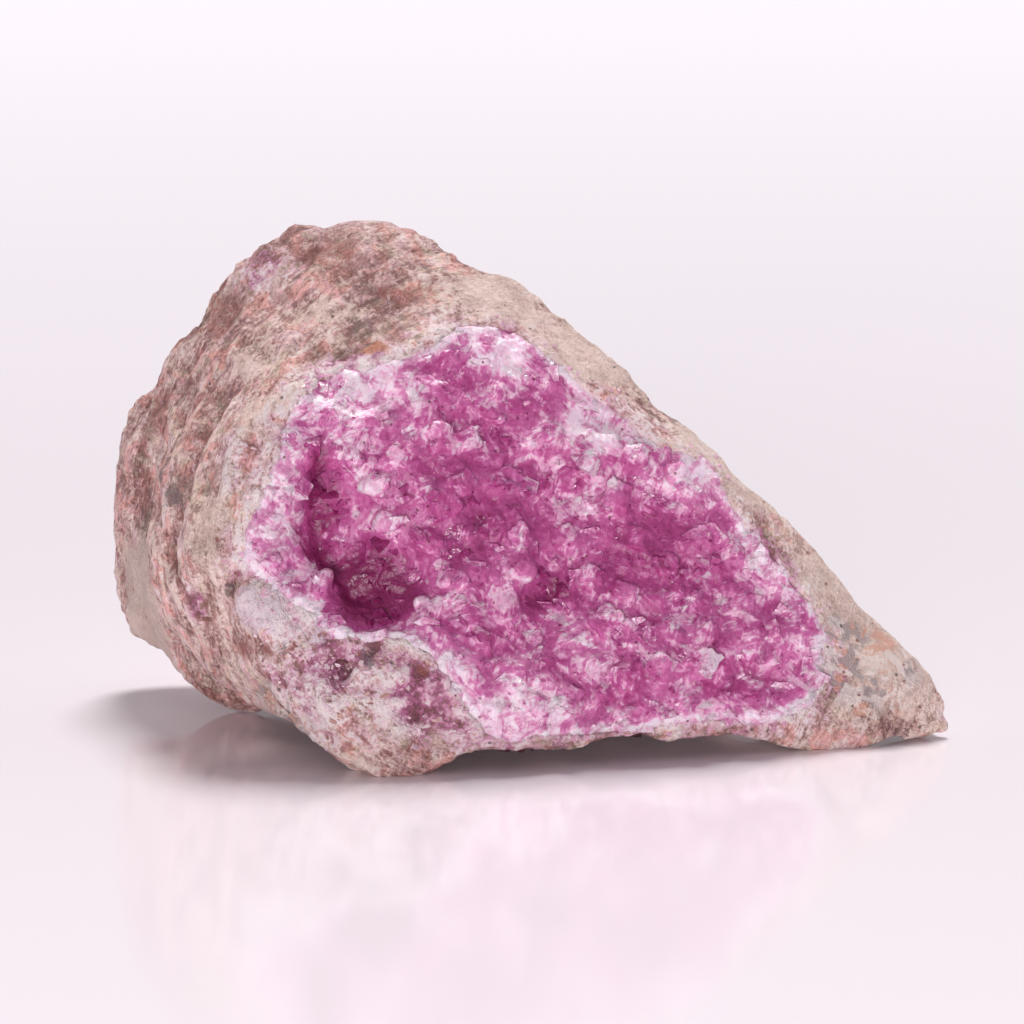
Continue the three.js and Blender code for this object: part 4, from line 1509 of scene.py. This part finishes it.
@dataclass(frozen=True)
class CrystalForm:
    """One small crystal, a unit high, standing along Z with its root below the origin."""

    habit: Habit

    def build(self) -> bpy.types.Object:
        """Builds the form.

        Returns:
            An object that is used only as a form to copy.
        """
        corners, sides = {
            Habit.RHOMB: self._rhomb(),
            Habit.FLAKE: self._flake(),
        }[self.habit]
        mesh = bpy.data.meshes.new("form_" + self.habit.value)
        mesh.from_pydata([tuple(corner) for corner in corners], [], sides)
        work = bmesh.new()
        work.from_mesh(mesh)
        bmesh.ops.recalc_face_normals(work, faces=work.faces)
        work.to_mesh(mesh)
        work.free()
        made = bpy.data.objects.new(mesh.name, mesh)
        bpy.context.collection.objects.link(made)
        return made

    @staticmethod
    def _rhomb() -> tuple[list[Vector], list[tuple[int, ...]]]:
        """Leans three equal edges about the upright, as calcite's rhomb does.

        Returns:
            Its corners and its faces.
        """
        reach, rise, root = 0.58, 0.5, -1.05
        edges = []
        for turn in range(3):
            angle = turn * math.tau / 3
            edges.append(Vector((math.cos(angle) * reach, math.sin(angle) * reach, rise)))
        corners = []
        for index in range(8):
            picked = [edge for bit, edge in enumerate(edges) if index >> bit & 1]
            corners.append(sum(picked, Vector((0, 0, root))))
        sides = [(0, 1, 3, 2), (4, 6, 7, 5), (0, 4, 5, 1), (2, 3, 7, 6), (0, 2, 6, 4), (1, 5, 7, 3)]
        return corners, sides

    @staticmethod
    def _flake() -> tuple[list[Vector], list[tuple[int, ...]]]:
        """Builds a thin lozenge that lies almost flat, as a cleavage flake does.

        Returns:
            Its corners and its faces.
        """
        outline = ((-0.50, -0.10), (-0.12, -0.20), (0.50, -0.06), (0.40, 0.12), (-0.20, 0.20))
        lift, slope = 0.02, 0.10
        root, longer, wider = -0.22, 1.1, 1.2
        corners = [Vector((x, y, lift + slope * x)) for x, y in outline]
        corners += [Vector((x * longer, y * wider, root)) for x, y in outline]
        count = len(outline)
        sides = [tuple(range(count)), tuple(reversed(range(count, 2 * count)))]
        for start in range(count):
            following = (start + 1) % count
            sides.append((start, start + count, following + count, following))
        return corners, sides


@dataclass(frozen=True)
class CrystalScatter:
    """Small crystals of one form, grown over a surface by Geometry Nodes.

    Args:
        name: The piece's name.
        habit: The crystals' form.
        density: Crystals on a square millimetre.
        smallest: Length of the smallest, in millimetres.
        largest: Length of the largest, in millimetres.
        lean: How far neighbours lean together, in radians.
        scatter: How far each leans on its own, in radians.
        seed: Seeds the places and sizes.
        growth: The number that says where they grow.
    """

    name: str
    habit: Habit
    density: float
    smallest: float
    largest: float
    lean: float
    scatter: float
    seed: int
    growth: str = "growth"

    INPUTS = (("Ground", "Geometry"), ("Form", "Object"), ("Density", "Float"), ("Smallest", "Float"),
              ("Largest", "Float"), ("Lean", "Float"), ("Scatter", "Float"), ("Seed", "Int"),
              ("Finish", "Material"))

    def build(self, ground: bpy.types.Object, material: bpy.types.Material) -> bpy.types.Object:
        """Grows the crystals on a piece.

        Args:
            ground: The piece they grow on.
            material: Their material.

        Returns:
            The finished piece.
        """
        form = CrystalForm(self.habit).build()
        carrier = bpy.data.objects.new(self.name + "_carrier", ground.data.copy())
        bpy.context.collection.objects.link(carrier)
        grow = carrier.modifiers.new("grow", "NODES")
        grow.node_group = self._tree()
        given = {"Form": form, "Density": self.density / MM ** 2, "Smallest": self.smallest * MM,
                 "Largest": self.largest * MM, "Lean": self.lean, "Scatter": self.scatter,
                 "Seed": self.seed, "Finish": material}
        for item in grow.node_group.interface.items_tree:
            if item.name in given:
                grow[item.identifier] = given[item.name]
        mesh = plain_mesh(carrier, self.name)
        carrier.modifiers.clear()
        bpy.data.objects.remove(carrier)
        bpy.data.objects.remove(form)
        mesh.shade_flat()
        piece = bpy.data.objects.new(self.name, mesh)
        bpy.context.collection.objects.link(piece)
        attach(piece, "root")
        report(piece)
        return piece

    def _tree(self) -> bpy.types.NodeTree:
        """Builds the tree that places, turns and sizes the crystals.

        Returns:
            The tree, with named inputs for its sizes.
        """
        tree = bpy.data.node_groups.new(self.name + "_growth", "GeometryNodeTree")
        for label, kind in self.INPUTS:
            tree.interface.new_socket(name=label, in_out="INPUT", socket_type="NodeSocket" + kind)
        tree.interface.new_socket(name="Crystals", in_out="OUTPUT", socket_type="NodeSocketGeometry")
        sheet = Sheet(tree)
        given = {socket.name: Value(sheet, socket) for socket in sheet.node("NodeGroupInput").outputs}
        where = sheet.value("GeometryNodeInputNamedAttribute", {"data_type": "FLOAT"},
                            {"Name": self.growth}, "Attribute")
        spread = sheet.node("GeometryNodeDistributePointsOnFaces", {"distribute_method": "RANDOM"}, {
            "Mesh": given["Ground"], "Density": given["Density"] * where, "Seed": given["Seed"]})
        turned = sheet.value("FunctionNodeRotateRotation", {"rotation_space": "LOCAL"}, {
            "Rotation": spread.outputs["Rotation"], "Rotate By": self._lean(sheet, given)})
        share = self._dice(sheet, "FLOAT", 0.0, 1.0, given["Seed"] + 2)
        size = given["Smallest"] + (given["Largest"] - given["Smallest"]) * share * share
        form = sheet.value("GeometryNodeObjectInfo", None,
                           {"Object": given["Form"], "As Instance": True}, "Geometry")
        crystals = sheet.value("GeometryNodeInstanceOnPoints", None, {
            "Points": spread.outputs["Points"], "Instance": form, "Rotation": turned, "Scale": size})
        tint = self._dice(sheet, "FLOAT", 0.0, 1.0, given["Seed"] + 3)
        crystals = sheet.value("GeometryNodeStoreNamedAttribute",
                               {"data_type": "FLOAT", "domain": "INSTANCE"},
                               {"Geometry": crystals, "Name": "tint", "Value": tint})
        crystals = sheet.value("GeometryNodeRealizeInstances", None, {"Geometry": crystals})
        crystals = sheet.value("GeometryNodeSetMaterial", None,
                               {"Geometry": crystals, "Material": given["Finish"]})
        sheet.node("NodeGroupOutput", None, {"Crystals": crystals})
        return tree

    def _lean(self, sheet: Sheet, given: dict[str, Value]) -> Value:
        """Leans each crystal with its neighbours and a little on its own.

        Args:
            sheet: The tree's nodes.
            given: The tree's inputs by name.

        Returns:
            The turn away from upright.
        """
        scaled = {"operation": "SCALE"}
        place = sheet.value("GeometryNodeInputPosition")
        turns_in_a_millimetre = 0.28
        drift = sheet.value("ShaderNodeTexNoise", None, {
            "Vector": place, "Scale": turns_in_a_millimetre / MM, "Detail": 1.0}, "Color")
        drift = sheet.value("ShaderNodeVectorMath", {"operation": "SUBTRACT"},
                            {0: drift, 1: (0.5, 0.5, 0.5)})
        # The noise strays only about a quarter from its middle, so the lean takes it four times
        drift = sheet.value("ShaderNodeVectorMath", scaled, {0: drift, "Scale": given["Lean"] * 4})
        own = self._dice(sheet, "FLOAT_VECTOR", (-1, -1, -1), (1, 1, 1), given["Seed"] + 1)
        own = sheet.value("ShaderNodeVectorMath", scaled, {0: own, "Scale": given["Scatter"]})
        turn = sheet.value("ShaderNodeVectorMath", {"operation": "ADD"}, {0: drift, 1: own})
        return sheet.value("FunctionNodeEulerToRotation", None, {0: turn})

    @staticmethod
    def _dice(sheet: Sheet, kind: str, low: object, high: object, seed: Value) -> Value:
        """Adds a random number or vector.

        Args:
            sheet: The tree's nodes.
            kind: "FLOAT" for a number or "FLOAT_VECTOR" for a vector.
            low: The lower limit.
            high: The upper limit.
            seed: Seeds it.

        Returns:
            A number or vector for each crystal, between the limits.
        """
        ending = {"FLOAT": "_001", "FLOAT_VECTOR": ""}[kind]
        sockets = {"Min" + ending: low, "Max" + ending: high, "Seed": seed}
        return sheet.value("FunctionNodeRandomValue", {"data_type": kind}, sockets, "Value" + ending)


DRUSE_BLOCKS = CrystalScatter("druse_blocks", Habit.RHOMB, density=0.03, smallest=1.2, largest=2.4,
                              lean=0.5, scatter=0.5, seed=3)
DRUSE_GRAINS = CrystalScatter("druse_grains", Habit.RHOMB, density=0.2, smallest=0.3, largest=0.8,
                              lean=0.6, scatter=0.4, seed=11)
DRUSE_BLADES = CrystalScatter("druse_blades", Habit.FLAKE, density=0.12, smallest=1.4, largest=3.0,
                              lean=0.9, scatter=0.12, seed=17)
DRUSE_FLAKES = CrystalScatter("druse_flakes", Habit.FLAKE, density=0.2, smallest=0.5, largest=1.3,
                              lean=0.9, scatter=0.2, seed=19)
RIM_GRAINS = CrystalScatter("rim_grains", Habit.RHOMB, density=0.8, smallest=0.3, largest=0.7,
                            lean=0.6, scatter=0.6, seed=37)
RIM_FLAKES = CrystalScatter("rim_flakes", Habit.FLAKE, density=0.35, smallest=0.5, largest=1.4,
                            lean=0.9, scatter=0.2, seed=43)


@dataclass(frozen=True)
class FloorFinish:
    """A pale, glossy table top.

    Args:
        colour: Its colour as the eye reads it, red, green and blue, 0 to 255.
        roughness: How matt it is.
    """

    colour: tuple[int, int, int] = (247, 240, 246)
    roughness: float = 0.10

    def make(self) -> bpy.types.Material:
        """Makes the material.

        Returns:
            The new material.
        """
        material = bpy.data.materials.new("floor_finish")
        material.use_nodes = True
        sheet = Sheet(material.node_tree)
        surface = sheet.node("ShaderNodeBsdfPrincipled", None, {
            "Base Color": paint(*self.colour), "Roughness": self.roughness, "Specular IOR Level": 0.5})
        sheet.node("ShaderNodeOutputMaterial", None, {"Surface": surface.outputs[0]})
        return material


@dataclass(frozen=True)
class Lamp:
    """One broad, distant lamp.

    Args:
        name: Its name.
        strength: Its brightness.
        width: How wide it looks from the specimen, in degrees.
        source: The direction it shines from.
        colour: Its colour.
    """

    name: str
    strength: float
    width: float
    source: tuple[float, float, float]
    colour: tuple[float, float, float]

    def build(self) -> None:
        """Adds the lamp to the scene."""
        data = bpy.data.lights.new(self.name, "SUN")
        data.energy = self.strength
        data.angle = math.radians(self.width)
        data.color = self.colour
        lamp = bpy.data.objects.new(self.name, data)
        lamp.rotation_mode = "QUATERNION"
        lamp.rotation_quaternion = (-Vector(self.source)).to_track_quat("-Z", "Y")
        bpy.context.collection.objects.link(lamp)


@dataclass(frozen=True)
class Studio:
    """The floor, the lights and the camera.

    Args:
        floor_radius: Half the floor's width, in metres.
        sky: The brightness of the light from overhead.
        horizon: The brightness of the light from all round, low down.
        dimming: How much darker the room is on the camera's side.
        air: The colour of the light from all round, as the eye reads it, 0 to 255.
        key: The broad lamp above and behind.
        fill: The broad lamp in front, level with the table, which leaves the shadows on the table dark.
        lens: The camera's focal length, in millimetres.
        eye: Where the camera is, in millimetres.
        target: What it looks at, in millimetres.
    """

    floor_radius: float = 6.0
    sky: float = 0.45
    horizon: float = 1.0
    dimming: float = 0.8
    air: tuple[int, int, int] = (253, 247, 253)
    key: Lamp = Lamp("key_lamp", strength=2.75, width=20, source=(0.05, 0.48, 1.0),
                     colour=(1.0, 0.985, 0.97))
    fill: Lamp = Lamp("fill_lamp", strength=2.9, width=20, source=(-0.12, -1.0, 0.03),
                      colour=(1.0, 0.98, 0.99))
    lens: float = 135.0
    eye: tuple[float, float, float] = (-1.0, -390.73, 91.49)
    target: tuple[float, float, float] = (-1.0, -16.5, 25.5)

    def build(self) -> None:
        """Builds the floor, the lights and the camera."""
        self._floor()
        self._sky()
        self.key.build()
        self.fill.build()
        self._camera()

    def _floor(self) -> None:
        """Builds the plain round floor."""
        work = bmesh.new()
        bmesh.ops.create_circle(work, cap_ends=True, segments=64, radius=self.floor_radius)
        mesh = bpy.data.meshes.new("floor")
        work.to_mesh(mesh)
        work.free()
        mesh.materials.append(FloorFinish().make())
        floor = bpy.data.objects.new("floor", mesh)
        bpy.context.collection.objects.link(floor)

    def _sky(self) -> None:
        """Sets the even light from all round."""
        world = bpy.data.worlds.new("studio")
        world.use_nodes = True
        sheet = Sheet(world.node_tree)
        around = sheet.value("ShaderNodeTexCoord", None, None, "Generated")
        height = sheet.value("ShaderNodeSeparateXYZ", None, {0: around}, "Z")
        depth = sheet.value("ShaderNodeSeparateXYZ", None, {0: around}, "Y")
        strength = height.step(0.02, 0.22) * (self.sky - self.horizon) + self.horizon
        strength = strength * (1 - depth.step(0.1, -0.6) * self.dimming)
        light = sheet.node("ShaderNodeBackground", None, {
            "Color": paint(*self.air), "Strength": strength})
        sheet.node("ShaderNodeOutputWorld", None, {"Surface": light.outputs[0]})
        bpy.context.scene.world = world

    def _camera(self) -> None:
        """Places the camera where the photograph was taken from."""
        data = bpy.data.cameras.new("camera")
        data.lens = self.lens
        data.sensor_width = 36.0
        data.clip_start = 0.01
        data.clip_end = 20.0
        camera = bpy.data.objects.new("camera", data)
        eye, target = Vector(self.eye) * MM, Vector(self.target) * MM
        turn = (target - eye).to_track_quat("-Z", "Y").to_matrix().to_4x4()
        camera.matrix_world = Matrix.Translation(eye) @ turn
        bpy.context.collection.objects.link(camera)
        bpy.context.scene.camera = camera


def report(piece: bpy.types.Object) -> None:
    """Logs a piece's name and its number of triangles."""
    triangles = sum(len(face.vertices) - 2 for face in piece.data.polygons)
    LOG.info("%s: %d triangles", piece.name, triangles)


def main() -> None:
    """Builds every piece in order."""
    logging.basicConfig(level=logging.INFO, format="%(name)s: %(message)s")
    bpy.context.scene.view_settings.view_transform = "Standard"
    Studio().build()
    rock = HostRock().build()
    bed = DruseBed().build()
    crystals = CalciteFinish(roughness=0.24, clearness=0.15, glow=0.4, glow_depth=0.5)
    grains = crystals.make("druse_crystal_finish", True)
    flakes = replace(crystals, pallor=0.06).make("druse_flake_finish", True)
    DRUSE_BLOCKS.build(bed, grains)
    DRUSE_GRAINS.build(bed, grains)
    DRUSE_BLADES.build(bed, flakes)
    DRUSE_FLAKES.build(bed, flakes)
    sugar = SugarFinish().make()
    RIM_GRAINS.build(rock, sugar)
    RIM_FLAKES.build(rock, sugar)


if __name__ == "__main__":
    main()
